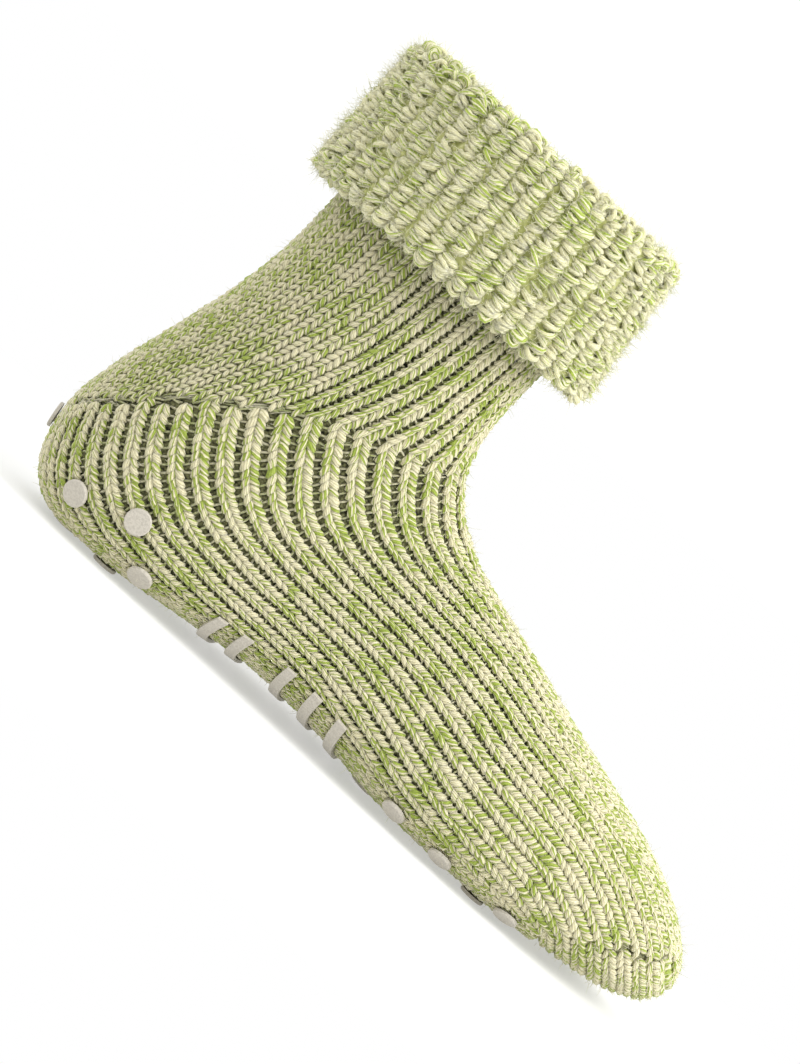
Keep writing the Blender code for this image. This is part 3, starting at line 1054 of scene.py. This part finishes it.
@dataclass(frozen=True)
class Gore:
    """Sizes along the two gores: slits and loose strands at the heel's, holes at the toe's.

    Within the first distance of each shade the backing is painted dark, as painted shade, and
    no longer at the second.
    """

    slit_above: float = 1.2 * MM
    slit_half: float = 1.3 * MM
    slit_share: float = 0.75
    hole_above: float = 0.6 * MM
    hole_half: float = 2.0 * MM
    hole_span: Pair = (224 * MM, 245 * MM)
    hole_share: float = 0.6
    floats: int = 90
    float_reach: Pair = (0.010, 0.028)
    float_stray: float = 0.05
    float_depth: Pair = (0.7 * MM, 1.7 * MM)
    float_dip: float = 0.5 * MM
    float_radius: Pair = (0.30 * MM, 0.50 * MM)
    heel_shade: Pair = (0.08, 0.24)
    toe_shade: Pair = (1.2 * MM, 3.2 * MM)
    toe_shade_from: float = 222 * MM

    def open_at(self, course: Course, at: Array, form: SockForm, random: Random) -> Array:
        """Finds the stitches that are left out: most along the heel's gore, some at the toe's.

        Args:
            course: The wale.
            at: Where its stitches start, in metres.
            form: The sock's form, for the toe's gore.
            random: The piece's random numbers.

        Returns:
            True for each one that is left out.
        """
        slit = ((np.abs(at + self.slit_above - course.gore) < self.slit_half)
                & (random.random(len(at)) < self.slit_share))
        points, _, _ = course.sample(at)
        on_gore = np.abs(form.over_gore(points) - self.hole_above) < self.hole_half
        first, last = self.hole_span
        along = form.from_heel(points)
        hole = (on_gore & (along > first) & (along < last)
                & (random.random(len(at)) < self.hole_share))
        return slit | hole


@dataclass(frozen=True)
class Rung:
    """Sizes of the short bars that bridge the gap between two ribs, one at each course."""

    radius: float = 0.46 * MM
    least_gap: float = 0.12
    reach: float = 0.45
    depth: float = 1.55 * MM
    sag: float = 0.25 * MM
    stray_deep: float = 0.12 * MM
    stray_slant: float = 0.18 * MM
    tone: float = 0.6


@dataclass
class KnittedTube:
    """The knit of leg, heel, foot and toe: stitches, ladders, and the fabric behind them."""

    layout: Layout
    yarn: bpy.types.Material
    shade: bpy.types.Material
    lining: bpy.types.Material
    stitch: Stitch = field(default_factory=Stitch)
    gore: Gore = field(default_factory=Gore)
    rung: Rung = field(default_factory=Rung)
    lumps: float = 0.05
    backing_depth: float = 2.0 * MM
    backing_columns: int = 96
    backing_rows: tuple[tuple[float, float, float], ...] = (
        (0, 4.5, 0.25), (4.5, 8, 0.125), (8, 20.5, 0.25))
    backing_tip: tuple[float, ...] = (0.4, 0.25, 0.12, 0.03)
    # How open the ribs are where the backing starts and ends its painted shade.
    open_shade: Pair = (0.05, 0.4)
    seed: int = 4

    def build(self) -> None:
        """Makes and dresses every piece of the tube."""
        random = np.random.default_rng(self.seed)
        batches = {zone: Tubes() for zone in Zone}
        ladders = Tubes(sides=3)
        per_side = self.layout.wales.per_side
        for side in (-1, 1):
            for number in range(per_side):
                course = self.layout.course((number + 0.5) / per_side, side)
                self.stitches(course, batches, random)
            for number in range(per_side + 1):
                self.rungs(self.layout.course(number / per_side, side), ladders, random)
            self.floats(side, ladders, random)
        for course in self.layout.patch():
            self.stitches(course, batches, random)
        for zone, batch in batches.items():
            dress(batch.mesh(f"{zone.name.lower()}_stitches"), self.yarn)
        dress(ladders.mesh("rib_ladders"), self.yarn)
        wall = self.wall()
        dress(wall, self.shade, ("knitted_tube",))
        wall.data.materials.append(self.lining)

    def stitches(self, course: Course, batches: dict[Zone, Tubes], random: Random) -> None:
        """Lays pairs of yarn legs along a course, sorted into the batch of each zone.

        Args:
            course: The wale.
            batches: The tubes of each zone, which get the legs.
            random: The piece's random numbers.
        """
        at = course.places(self.stitch.pitch, random)
        at = at[~self.gore.open_at(course, at, self.layout.form, random)]
        station = course.value("station", at)
        for leg in self.stitch.legs:
            centres, up, radii = self.stitch.lay(course, at, leg, random)
            tones, turns = yarn_draws(len(at), random)
            lumps = random.normal(1, self.lumps, (*radii.shape, Tubes.sides))
            for zone, batch in batches.items():
                low, high = zone.value
                here = (station >= low) & (station < high)
                if here.any():
                    batch.add(centres[here], up[here], radii[here], tones[here], turns[here],
                              lumps[here])

    def floats(self, side: int, ladders: Tubes, random: Random) -> None:
        """Lays loose strands along the heel's gore, which bridge its slits.

        Args:
            side: 1 or -1.
            ladders: The tubes that get them.
            random: The piece's random numbers.
        """
        gore, layout = self.gore, self.layout
        q = np.linspace(-1, 1, 4)
        share = random.uniform(*layout.gore_shares, (gore.floats, 1))
        span = share + random.uniform(*gore.float_reach, share.shape) * q
        station = (layout.wales.gore_station(span)
                   + random.normal(0, gore.float_stray, share.shape)
                   + random.normal(0, gore.float_stray, share.shape) * q)
        angle = side * layout.signed_angle(station, layout.wales.shifted(station, span))
        normals = layout.form.normal(station, angle)
        depth = random.uniform(*gore.float_depth, share.shape) + gore.float_dip * q ** 2
        centres = layout.form.at(station, angle) - depth[..., None] * normals
        radii = np.broadcast_to(random.uniform(*gore.float_radius, share.shape), span.shape)
        ladders.add(centres, normals, radii, *yarn_draws(len(share), random))

    def rungs(self, course: Course, ladders: Tubes, random: Random) -> None:
        """Lays a short bar across the gap between two ribs at each course of stitches.

        Args:
            course: The middle line of the gap.
            ladders: The tubes that get them.
            random: The piece's random numbers.
        """
        rung = self.rung
        at = course.places(self.stitch.pitch, random)
        at = at[course.value("gap", at) > rung.least_gap]
        if not len(at):
            return
        points, normals, half = course.sample(at)
        down, right = course.directions(at, normals)
        q = np.linspace(-1, 1, 3)
        each = (len(at), 1)
        across = q * (rung.reach * half)[:, None]
        depth = rung.depth + rung.sag * q ** 2 + random.normal(0, rung.stray_deep, each)
        slant = random.normal(0, rung.stray_slant, each) * q
        centres = (points[:, None] + across[..., None] * right[:, None]
                   - depth[..., None] * normals[:, None] + slant[..., None] * down[:, None])
        tones, turns = yarn_draws(len(at), random)
        ladders.add(centres, np.broadcast_to(normals[:, None], centres.shape),
                    np.full(across.shape, rung.radius), tones * rung.tone, turns)

    def wall(self) -> bpy.types.Object:
        """The fabric behind the stitches, as two nested skins joined round the top.

        Its rows are closer round the heel, and the last ones close in on the tip of the toe.

        Returns:
            The closed mesh, its inner skin in the second material.
        """
        form = self.layout.form
        stations = np.concatenate([*(np.arange(*rows) for rows in self.backing_rows),
                                   form.tip - np.array(self.backing_tip)])
        angles = np.linspace(0, TURN, self.backing_columns, endpoint=False)
        points = form.at(stations[:, None], angles[None])
        normals = form.normal(stations[:, None], angles[None])
        outer, inner = points - self.backing_depth * normals, points - form.fabric * normals
        rows, columns = points.shape[:2]
        sheet = grid_faces(rows, columns)
        count = rows * columns
        both = np.concatenate([outer.reshape(-1, 3), inner.reshape(-1, 3),
                               outer[-1].mean(axis=0)[None], inner[-1].mean(axis=0)[None]])
        here = np.arange(columns)
        after = (here + 1) % columns
        last = (rows - 1) * columns
        rim = np.stack([here + count, after + count, after, here], axis=1)
        tip = np.stack([np.full(columns, 2 * count), after + last, here + last], axis=1)
        inner_tip = np.stack([np.full(columns, 2 * count + 1), here + last + count,
                              after + last + count], axis=1)
        faces = [np.concatenate([sheet[:, ::-1], sheet + count, rim]),
                 np.concatenate([tip, inner_tip])]
        # Painted shade: the backing is coloured dark in the ladders and along the gores.
        dark = self.painted_shade_mask(stations, angles, points)
        wall = solid_mesh("knit_backing", both, faces,
                          tones=np.concatenate([dark.ravel(), np.ones(count + 2)]))
        inside = np.repeat([0, 1, 0, 1], [len(sheet), len(sheet) + columns, columns, columns])
        wall.data.polygons.foreach_set("material_index", inside.astype(np.int32))
        return wall

    def painted_shade_mask(self, stations: Array, angles: Array, points: Array) -> Array:
        """Where shade is painted on the backing, as a dark colour: in the ladders between open
        ribs and along both gores.

        Args:
            stations: The backing's rows.
            angles: Its columns.
            points: The form at each of them.

        Returns:
            1 where it is painted dark as shade and 0 under closed knit, rows by columns.
        """
        form, wales = self.layout.form, self.layout.wales
        share = self.layout.share_at(stations, angles)
        open_ribs = smoothstep(*self.open_shade, wales.gap(stations[:, None], share))
        low, high = self.layout.gore_shares
        off_heel = np.abs(stations[:, None] - wales.gore_station(share))
        heel = ((1 - smoothstep(*self.gore.heel_shade, off_heel))
                * ((share > low) & (share < high)))
        off_toe = np.abs(form.over_gore(points))
        toe = ((1 - smoothstep(*self.gore.toe_shade, off_toe))
               * (form.from_heel(points) > self.gore.toe_shade_from))
        return np.maximum(open_ribs, np.maximum(heel, toe))


@dataclass(frozen=True)
class TerryLoop:
    """Sizes of one level loop of the pile. A Pair is its value on the outside and at the hem."""

    reach: Pair = (0.47, 0.42)
    height: Pair = (2.2 * MM, 2.9 * MM)
    flatness: float = 2.4
    sunk: float = 2.75 * MM
    droop: float = 0.45 * MM
    radius: float = 0.94 * MM
    thin_end: float = 0.72
    rings: int = 6
    stray_reach: float = 0.14
    stray_height: float = 0.45 * MM
    stray_tilt: float = 0.70 * MM
    uneven: float = 0.12
    lumps: float = 0.13


@dataclass(frozen=True)
class FoldLoop:
    """Sizes of the round loops that stand up from the fold."""

    count: int = 150
    rows: tuple[int, int] = (9, 21)
    turn: float = 0.78 * math.pi
    rings: int = 9
    sizes: Pair = (1.3 * MM, 1.9 * MM)
    raised: float = 0.2
    sunk: float = 1.0 * MM
    radius: float = 0.80 * MM
    uneven: Pair = (0.85, 1.15)
    stray: float = 0.25


@dataclass
class TurnedCuff:
    """The terry top, folded outward: columns of looped pile over a plain core."""

    form: SockForm
    yarn: bpy.types.Material
    core: bpy.types.Material
    loop: TerryLoop = field(default_factory=TerryLoop)
    fold_loop: FoldLoop = field(default_factory=FoldLoop)
    top: float = 172.8 * MM
    crown: float = 6.2 * MM
    wall: float = 7.8 * MM
    snug: float = 1.8 * MM
    loose_front: float = 3.2 * MM
    hem: float = 130.0 * MM
    hem_turn: float = 0.8 * math.pi
    hem_facing: Pair = (0.0, 0.7)
    fold_rows: int = 25
    side_rows: int = 39
    hem_rows: int = 15
    columns: int = 52
    row_pitch: float = 1.42 * MM
    first_row: float = 0.4 * MM
    stray_start: float = 0.8 * MM
    stray_row: float = 0.30 * MM
    sway: float = 0.18 * MM
    wander: float = 0.5 * MM
    wander_run: float = 9 * MM
    wander_step: float = 2.3
    stray_wander: float = 0.15 * MM
    core_inset: float = 1.7 * MM
    core_columns: int = 160
    core_off_leg: float = 0.6 * MM
    core_lip: float = 0.8 * MM
    core_below_top: float = 1.0 * MM
    core_above_hem: float = 5.0 * MM
    fine_angles: int = 721
    probe: float = 0.01
    seed: int = 7

    def outline(self, inset: float = 0.0) -> tuple[Array, Array]:
        """The profile from the inner lip over the fold to the underside of the hem.

        It is half an ellipse over the fold, a line down the outside, and an arc round the hem.

        Args:
            inset: How far inside the cuff's surface it runs.

        Returns:
            Rows of (share of the looseness, distance out, height), and each row's outward
            direction in the profile's own plane.
        """
        inner, bead = -self.snug - self.form.fabric, self.wall / 2
        middle, reach = (self.wall + inner) / 2, (self.wall - inner) / 2
        low = self.hem + bead
        turn = np.linspace(math.pi, 0, self.fold_rows)
        drop = np.linspace(0, 1, self.side_rows + 2)[1:-1]
        under = np.linspace(0, self.hem_turn, self.hem_rows)
        fold = np.stack([np.zeros_like(turn), middle + (reach - inset) * np.cos(turn),
                         self.top + (self.crown - inset) * np.sin(turn)], axis=1)
        side = np.stack([drop, np.full_like(drop, self.wall - inset),
                         self.top - (self.top - low) * drop], axis=1)
        round_hem = np.stack([np.ones_like(under), bead + (bead - inset) * np.cos(under),
                              low - (bead - inset) * np.sin(under)], axis=1)
        out = np.concatenate([
            np.stack([np.cos(turn) / reach, np.sin(turn) / self.crown], axis=1),
            np.tile([1.0, 0.0], (self.side_rows, 1)),
            np.stack([np.cos(under), -np.sin(under)], axis=1)])
        return np.concatenate([fold, side, round_hem]), unit(out)

    def ring(self, around: Array) -> tuple[Array, Array, Array]:
        """The leg's top edge at some angles.

        Args:
            around: Angles round the leg, in radians.

        Returns:
            Points, level normals, and how far the cuff hangs loose of each.
        """
        base = self.form.at(np.zeros_like(around), around)
        normal = self.form.normal(np.ones_like(around), around) * (1, 1, 0)
        return base, unit(normal), self.loose_front * (1 + np.cos(around)) / 2

    def place(self, rows: Array, around: Array) -> Array:
        """Carries profile rows to angles: the ring's point plus the distance out on its normal.

        Args:
            rows: Rows of the profile, with one more axis of three.
            around: An angle for each.

        Returns:
            Points, with one more axis of three coordinates.
        """
        base, normal, loose = self.ring(around)
        off = self.snug + rows[..., 0] * loose + rows[..., 1]
        points = base + off[..., None] * normal
        points[..., 2] = rows[..., 2]
        return points

    def along_profile(self, run: Array, at: Array) -> tuple[Array, Array]:
        """Reads the profile at distances along it.

        Args:
            run: The distance of each of its rows from the first.
            at: The distances to read.

        Returns:
            Rows of the profile, and their outward directions in its plane.
        """
        rows, out = self.outline()
        row = np.stack([np.interp(at, run, rows[:, k]) for k in range(3)], axis=1)
        return row, unit(np.stack([np.interp(at, run, out[:, k]) for k in range(2)], axis=1))

    def outward(self, facing: Array, around: Array) -> Array:
        """Directions in the profile's plane carried to angles round the leg."""
        _, level, _ = self.ring(around)
        return unit(level * facing[:, :1] + UP * facing[:, 1:])

    def even_angles(self, count: int) -> Array:
        """Divides the cuff's outside into equal lengths.

        Args:
            count: How many.

        Returns:
            The angle in the middle of each, in radians.
        """
        fine = np.linspace(0, TURN, self.fine_angles)
        run = run_along(self.place(np.tile([0.5, self.wall, self.top], (len(fine), 1)), fine))
        return np.interp((np.arange(count) + 0.5) / count * run[-1], run, fine)

    def build(self) -> None:
        """Makes the core, the looped pile, and the loops that stand on the fold."""
        random = np.random.default_rng(self.seed)
        dress(self.core_ring(), self.core, ("turned_cuff",))
        dress(self.pile(random), self.yarn)
        dress(self.standing_loops(random), self.yarn)

    def core_ring(self) -> bpy.types.Object:
        """The closed ring under the pile: the profile, set in and closed along the leg.

        Returns:
            One mesh object.
        """
        rows, _ = self.outline(self.core_inset)
        lip = -self.snug - self.form.fabric + self.core_lip
        high, low = self.top - self.core_below_top, self.hem + self.core_above_hem
        rows = np.concatenate([rows, [[1.0, self.core_off_leg, low],
                                      [0.0, self.core_off_leg, high], [0.0, lip, high]]])
        around = np.linspace(0, TURN, self.core_columns, endpoint=False)
        shape = (len(rows), len(around))
        points = self.place(np.broadcast_to(rows[:, None], (*shape, 3)),
                            np.broadcast_to(around, shape))
        closed = grid_faces(shape[0] + 1, shape[1]) % (shape[0] * shape[1])
        return solid_mesh("cuff_core", points.reshape(-1, 3), [closed[:, ::-1]],
                          tones=np.ones(shape[0] * shape[1]))

    def pile(self, random: Random) -> bpy.types.Object:
        """Level loops, stacked in columns over the fold, down the outside and round the hem.

        Args:
            random: The piece's random numbers.

        Returns:
            One mesh object.
        """
        tubes = Tubes()
        middles = self.even_angles(self.columns)
        sways = random.normal(0, self.sway, self.columns)
        for number, (middle, sway) in enumerate(zip(middles, sways)):
            self.pile_column(number, middle, sway, tubes, random)
        return tubes.mesh("cuff_pile")

    def pile_column(self, number: int, middle: float, sway: float, tubes: Tubes,
                    random: Random) -> None:
        """Stacks the loops of one column.

        A loop runs from one side of the column to the other. With q from -1 to 1 its centre is
        reach * q of the column's width sideways, 1 - |q|^2.4 of its height over the core, and
        1 - q^2 of its droop down. The loops are wider apart and higher round the hem.

        Args:
            number: The column's number, which sets where it wanders.
            middle: The angle of its middle.
            sway: How far its loops stand out more than others.
            tubes: The tubes that get the loops.
            random: The piece's random numbers.
        """
        loop = self.loop
        rows, _ = self.outline()
        run = run_along(self.place(rows, np.full(len(rows), middle)))
        at = np.arange(self.first_row, run[-1], self.row_pitch)
        at = (at + random.uniform(-self.stray_start, self.stray_start)
              + random.normal(0, self.stray_row, len(at)))
        at = np.clip(at, 0, run[-1])
        each = (len(at), 1)
        row, facing = self.along_profile(run, at)
        angle = np.full(len(at), middle)
        outward = self.outward(facing, angle)[:, None]
        centre = self.place(row, angle)
        across = unit(self.place(row, angle + 2 * self.probe) - centre)[:, None]
        down = np.cross(across, outward)
        down = unit(np.where(down[..., 2:] > 0, -down, down))
        hem = smoothstep(*self.hem_facing, -facing[:, 1])
        wide = (blend(loop.reach, hem) * self.column_width(row, angle)
                * random.normal(1, loop.stray_reach, len(at)))
        lift = random.normal(0, loop.stray_height, len(at)) + sway
        q = np.linspace(-1, 1, loop.rings)
        rise = (blend(loop.height, hem)[:, None] * (1 - np.abs(q) ** loop.flatness) - loop.sunk
                + lift[:, None])
        droop = loop.droop * (1 - q ** 2) + random.normal(0, loop.stray_tilt, each) * q
        wander = (self.wander * np.sin(at / self.wander_run + self.wander_step * number)
                  + random.normal(0, self.stray_wander, len(at)))
        aside = wide[:, None] * q + wander[:, None]
        centres = (centre[:, None] + aside[..., None] * across + rise[..., None] * outward
                   + droop[..., None] * down)
        radii = (loop.radius * (loop.thin_end + (1 - loop.thin_end) * (1 - q ** 2))
                 * random.normal(1, loop.uneven, each))
        tubes.add(centres, np.broadcast_to(outward, centres.shape), radii,
                  *yarn_draws(len(at), random),
                  random.normal(1, loop.lumps, (*radii.shape, tubes.sides)))

    def column_width(self, row: Array, angle: Array) -> Array:
        """How wide one column is round the cuff: the arc's slope times the column's angle.

        Args:
            row: Rows of the profile.
            angle: The column's angle, once for each row.

        Returns:
            Widths in metres.
        """
        step = self.probe
        slope = np.linalg.norm(self.place(row, angle + step) - self.place(row, angle - step),
                               axis=1) / (2 * step)
        fine = self.even_angles(self.columns)
        return slope * np.interp(angle[0], fine, np.gradient(fine))

    def standing_loops(self, random: Random) -> bpy.types.Object:
        """Round loops that stand up from the fold, each three quarters of a circle.

        Args:
            random: The piece's random numbers.

        Returns:
            One mesh object.
        """
        loop = self.fold_loop
        around = random.uniform(0, TURN, loop.count)
        rows, out = self.outline()
        pick = random.integers(*loop.rows, loop.count)
        base = self.place(rows[pick], around)
        outward = self.outward(out[pick], around)
        outward = unit(outward + random.normal(0, loop.stray, outward.shape))
        spin = random.normal(0, 1, outward.shape)
        across = unit(spin - (spin * outward).sum(axis=1, keepdims=True) * outward)
        turn = np.linspace(-loop.turn, loop.turn, loop.rings)
        size = random.uniform(*loop.sizes, (loop.count, 1))
        rise = size * (np.cos(turn) + loop.raised) - loop.sunk
        centres = (base[:, None] + (size * np.sin(turn))[..., None] * across[:, None]
                   + rise[..., None] * outward[:, None])
        radii = (np.full((loop.count, loop.rings), loop.radius)
                 * random.uniform(*loop.uneven, (loop.count, 1)))
        tubes = Tubes()
        tubes.add(centres, unit(centres - base[:, None]), radii,
                  *yarn_draws(loop.count, random))
        return tubes.mesh("fold_loops")


@dataclass
class Fuzz:
    """Loose fibres that stand off the terry and the knit."""

    cuff: TurnedCuff
    layout: Layout
    fibre: bpy.types.Material
    radius: float = 0.08 * MM
    tip_radius: float = 0.3
    stray_lean: float = 0.55
    stray_curl: float = 0.45
    slack: float = 0.8
    floor_gap: float = 0.3 * MM
    cuff_sunk: Pair = (-0.2 * MM, 0.7 * MM)
    knit_sunk: float = 0.5 * MM
    knit_from: float = 1.8
    knit_short_of_tip: float = 0.6
    knit_above: float = 2.2 * MM
    seed: int = 11

    def build(self) -> None:
        """Makes one mesh of hairs for each kind of ground."""
        random = np.random.default_rng(self.seed)
        for lay in Lay:
            on_knit = lay is Lay.KNIT
            points, normals = (self.knit_roots if on_knit else self.cuff_roots)(lay, random)
            reach = random.uniform(*lay.value.lengths, len(points))
            dress(self.hairs(lay.value, points, normals, reach, random), self.fibre)

    def cuff_roots(self, lay: Lay, random: Random) -> tuple[Array, Array]:
        """Where hairs start on the cuff, evenly along its profile.

        Args:
            lay: The kind of fibre.
            random: The piece's random numbers.

        Returns:
            Points and outward directions.
        """
        count = lay.value.count
        rows, _ = self.cuff.outline()
        run = run_along(rows[:, 1:])
        row, facing = self.cuff.along_profile(run, random.uniform(0, run[-1], count))
        around = random.uniform(0, TURN, count)
        outward = self.cuff.outward(facing, around)
        sunk = random.uniform(*self.cuff_sunk, (count, 1))
        return self.cuff.place(row, around) - sunk * outward, outward

    def knit_roots(self, lay: Lay, random: Random) -> tuple[Array, Array]:
        """Where hairs start on the knit, over twice as many places as those kept off the sole.

        Args:
            lay: The kind of fibre.
            random: The piece's random numbers.

        Returns:
            Points and outward directions.
        """
        form, count = self.layout.form, lay.value.count
        station = random.uniform(self.knit_from, form.tip - self.knit_short_of_tip, 2 * count)
        around = random.uniform(0, TURN, 2 * count)
        points, normals = form.at(station, around), form.normal(station, around)
        keep = points[:, 2] > self.knit_above
        points, normals = points[keep][:count], normals[keep][:count]
        return points - self.knit_sunk * normals, normals

    def hairs(self, kind: Hair, roots: Array, normals: Array, reach: Array,
              random: Random) -> bpy.types.Object:
        """Bent three-sided fibres: root + reach (q lean + q^2 curl), thinner toward the tip.

        Args:
            kind: The kind of fibre.
            roots: Where they start.
            normals: Which way is out there.
            reach: How long each is, in metres.
            random: The piece's random numbers.

        Returns:
            One mesh object.
        """
        count = len(roots)
        lean = unit(normals * kind.lift + random.normal(0, self.stray_lean, (count, 3)))
        curl = random.normal(0, self.stray_curl, (count, 3))
        q = np.linspace(0, 1, kind.rings)
        bent = (q[None, :, None] * lean[:, None] + (q ** 2)[None, :, None] * curl[:, None])
        centres = roots[:, None] + reach[:, None, None] * bent * self.slack
        centres[..., 2] = np.maximum(centres[..., 2], self.floor_gap)
        radii = np.broadcast_to(self.radius * blend((1, self.tip_radius), q), (count, len(q)))
        up = np.broadcast_to(unit(np.cross(lean, curl))[:, None], centres.shape)
        tubes = Tubes(sides=3)
        tubes.add(centres, up, radii, *yarn_draws(count, random))
        return tubes.mesh(kind.piece)


@dataclass
class GripPrint:
    """Dots and chevrons of silicone under the sole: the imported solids, refinished."""

    finish: bpy.types.Material

    def build(self) -> None:
        """Gives each grip solid the print's finish."""
        for name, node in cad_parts.items():
            if name.startswith("grip_"):
                node.data.materials.clear()
                node.data.materials.append(self.finish)
                log.info("%s: refinished", name)


@dataclass(frozen=True)
class Lamp:
    """A square soft light: its place on the camera's axes, its side in metres and its power."""

    name: str
    place: tuple[float, float, float]
    size: float
    power: float


@dataclass
class Studio:
    """Floor, light and camera, at the photograph's angle to the sock."""

    azimuth: float = -2.7
    elevation: float = 4.0
    roll: float = 42.0
    distance: float = 1.15
    frame_height: float = 0.318
    sensor_mm: float = 24.0
    target: tuple[float, float, float] = (-0.0255, 0.0, 0.0655)
    lamps: tuple[Lamp, ...] = (Lamp("key", (1.2, -0.20, 0.50), 0.8, 16.5),
                               Lamp("fill", (0.2, 0.9, 0.6), 0.8, 3.5))
    lowest_lamp: float = 0.25
    surround: float = 1.1
    floor_half: float = 6.0
    floor_fade: Pair = (0.14, 0.30)
    # Near the sock the card's glow is painted light, which lifts the sock's shadow on it.
    floor_glow: Pair = (0.45, 1.0)

    def build(self) -> None:
        """Makes the camera first, since the lights are placed from its axes."""
        camera = self.camera()
        self.lights(camera)
        self.floor()

    def camera(self) -> bpy.types.Object:
        """A long lens at the photograph's azimuth, elevation and roll.

        Returns:
            The scene's camera.
        """
        az, el = math.radians(self.azimuth), math.radians(self.elevation)
        back = Vector((math.sin(az) * math.cos(el), -math.cos(az) * math.cos(el), math.sin(el)))
        data = bpy.data.cameras.new("camera")
        data.sensor_fit = "VERTICAL"
        data.sensor_height = self.sensor_mm
        data.lens = self.sensor_mm * self.distance / self.frame_height
        obj = bpy.data.objects.new("camera", data)
        level = back.to_track_quat("Z", "Y").to_matrix().to_4x4()
        obj.matrix_world = (Matrix.Translation(Vector(self.target) + self.distance * back) @ level
                            @ Matrix.Rotation(math.radians(self.roll), 4, "Z"))
        bpy.context.scene.collection.objects.link(obj)
        bpy.context.scene.camera = obj
        return obj

    def lights(self, camera: bpy.types.Object) -> None:
        """A large soft key from the picture's upper right, a weak fill, and a white surround.

        Args:
            camera: The camera, on whose axes the lamps stand.
        """
        scene, target = bpy.context.scene, Vector(self.target)
        axes = camera.matrix_world.to_3x3()
        for lamp in self.lamps:
            data = bpy.data.lights.new(lamp.name, "AREA")
            data.size = lamp.size
            data.energy = lamp.power
            obj = bpy.data.objects.new(lamp.name, data)
            spot = target + axes @ Vector(lamp.place)
            spot.z = max(spot.z, self.lowest_lamp)
            aim = (spot - target).to_track_quat("Z", "Y").to_matrix().to_4x4()
            obj.matrix_world = Matrix.Translation(spot) @ aim
            scene.collection.objects.link(obj)
        world = bpy.data.worlds.new("surround")
        world.use_nodes = True
        world.node_tree.nodes["Background"].inputs[0].default_value = linear("#FFFFFF")
        world.node_tree.nodes["Background"].inputs[1].default_value = self.surround
        scene.world = world
        scene.view_settings.view_transform = "Standard"

    def floor(self) -> None:
        """A pale matte card that fades into the surround away from the sock.

        Near the sock it glows in part, a painted light that lifts the sock's shadow on it.
        """
        half = self.floor_half
        corners = np.array([[-half, -half, 0], [half, -half, 0], [half, half, 0],
                            [-half, half, 0]])
        obj = solid_mesh("floor", corners, [np.array([[0, 1, 2, 3]])])
        made, tree, shader = new_finish("matte_white_card", {
            "Base Color": linear("#F4F4F2"), "Roughness": 0.9})
        place = add_node(tree, "ShaderNodeTexCoord").outputs["Object"]
        away = add_node(tree, "ShaderNodeVectorMath", {"operation": "LENGTH"}, {0: place})
        limits = dict(enumerate((*self.floor_fade, *self.floor_glow), start=1))
        fade = add_node(tree, "ShaderNodeMapRange", {"interpolation_type": "SMOOTHSTEP"},
                        {0: away.outputs["Value"], **limits})
        # Painted light: the glow lightens the card and the sock's shadow beside the sock.
        glow = add_node(tree, "ShaderNodeEmission", inputs={0: linear("#FFFFFF"), 1: 1.0})
        mixed = add_node(tree, "ShaderNodeMixShader", inputs={
            0: fade.outputs[0], 1: shader.outputs[0], 2: glow.outputs[0]})
        tree.links.new(mixed.outputs[0], tree.nodes["Material Output"].inputs[0])
        obj.data.materials.append(made)


def main() -> None:
    """Builds the sock piece by piece, then the studio."""
    logging.basicConfig(level=logging.INFO, format="%(message)s")
    form = SockForm()
    layout = Layout(form, Wales(form))
    wool = MarledYarn("marled_wool_yarn").make()
    # The same yarn on the cuff is brushed: paler, slacker in its twist, with shallow furrows
    # and less painted shade in them.
    terry = MarledYarn("terry_loop_yarn", cream="#E8E4C4", cream_shade="#CFCB95",
                       green="#9DB23A", green_share=0.17, patch_spread=1.4, furrow_shade=0.28,
                       twist_mm=26.0, strand_bump=0.35, fibre_mm=0.5, bump_mm=0.7,
                       sheen=0.25, scatter=0.6, scatter_mm=1.6).make()
    # A single fibre has no strands, so it is one smooth pale colour with a bright edge.
    fibre = MarledYarn("loose_wool_fibre", cream="#EFECD4", green_share=0.10, furrow_shade=0.0,
                       bump_mm=0.02, sheen=0.25, scatter=0.0).make()
    # Through the ladders the lining lies deep, painted dark as painted shade, and its pile is
    # pulled finer there. Under closed knit it shows its packed colour, darkened as painted shade.
    shade = TerryLining("terry_lining_in_shade", light="#82825A", dark="#15160A",
                        packed="#BDBA8C", pile_mm=0.8).make()
    # Inside the sock it is in the open, with painted shade between its loops. Under the cuff's
    # loops its ground is greener, and painted darker as the shade in the recesses between them.
    lining = TerryLining("terry_lining", light="#D6D2AC", dark="#8F9156", packed="#C2BF8E").make()
    plush = TerryLining("terry_ground_in_painted_shade", light="#C0C184", dark="#7F8446", packed="#B5B778").make()
    KnittedTube(layout, wool, shade, lining).build()
    cuff = TurnedCuff(form, terry, plush)
    cuff.build()
    Fuzz(cuff, layout, fibre).build()
    GripPrint(SiliconePrint().make()).build()
    Studio().build()


if __name__ == "__main__":
    main()
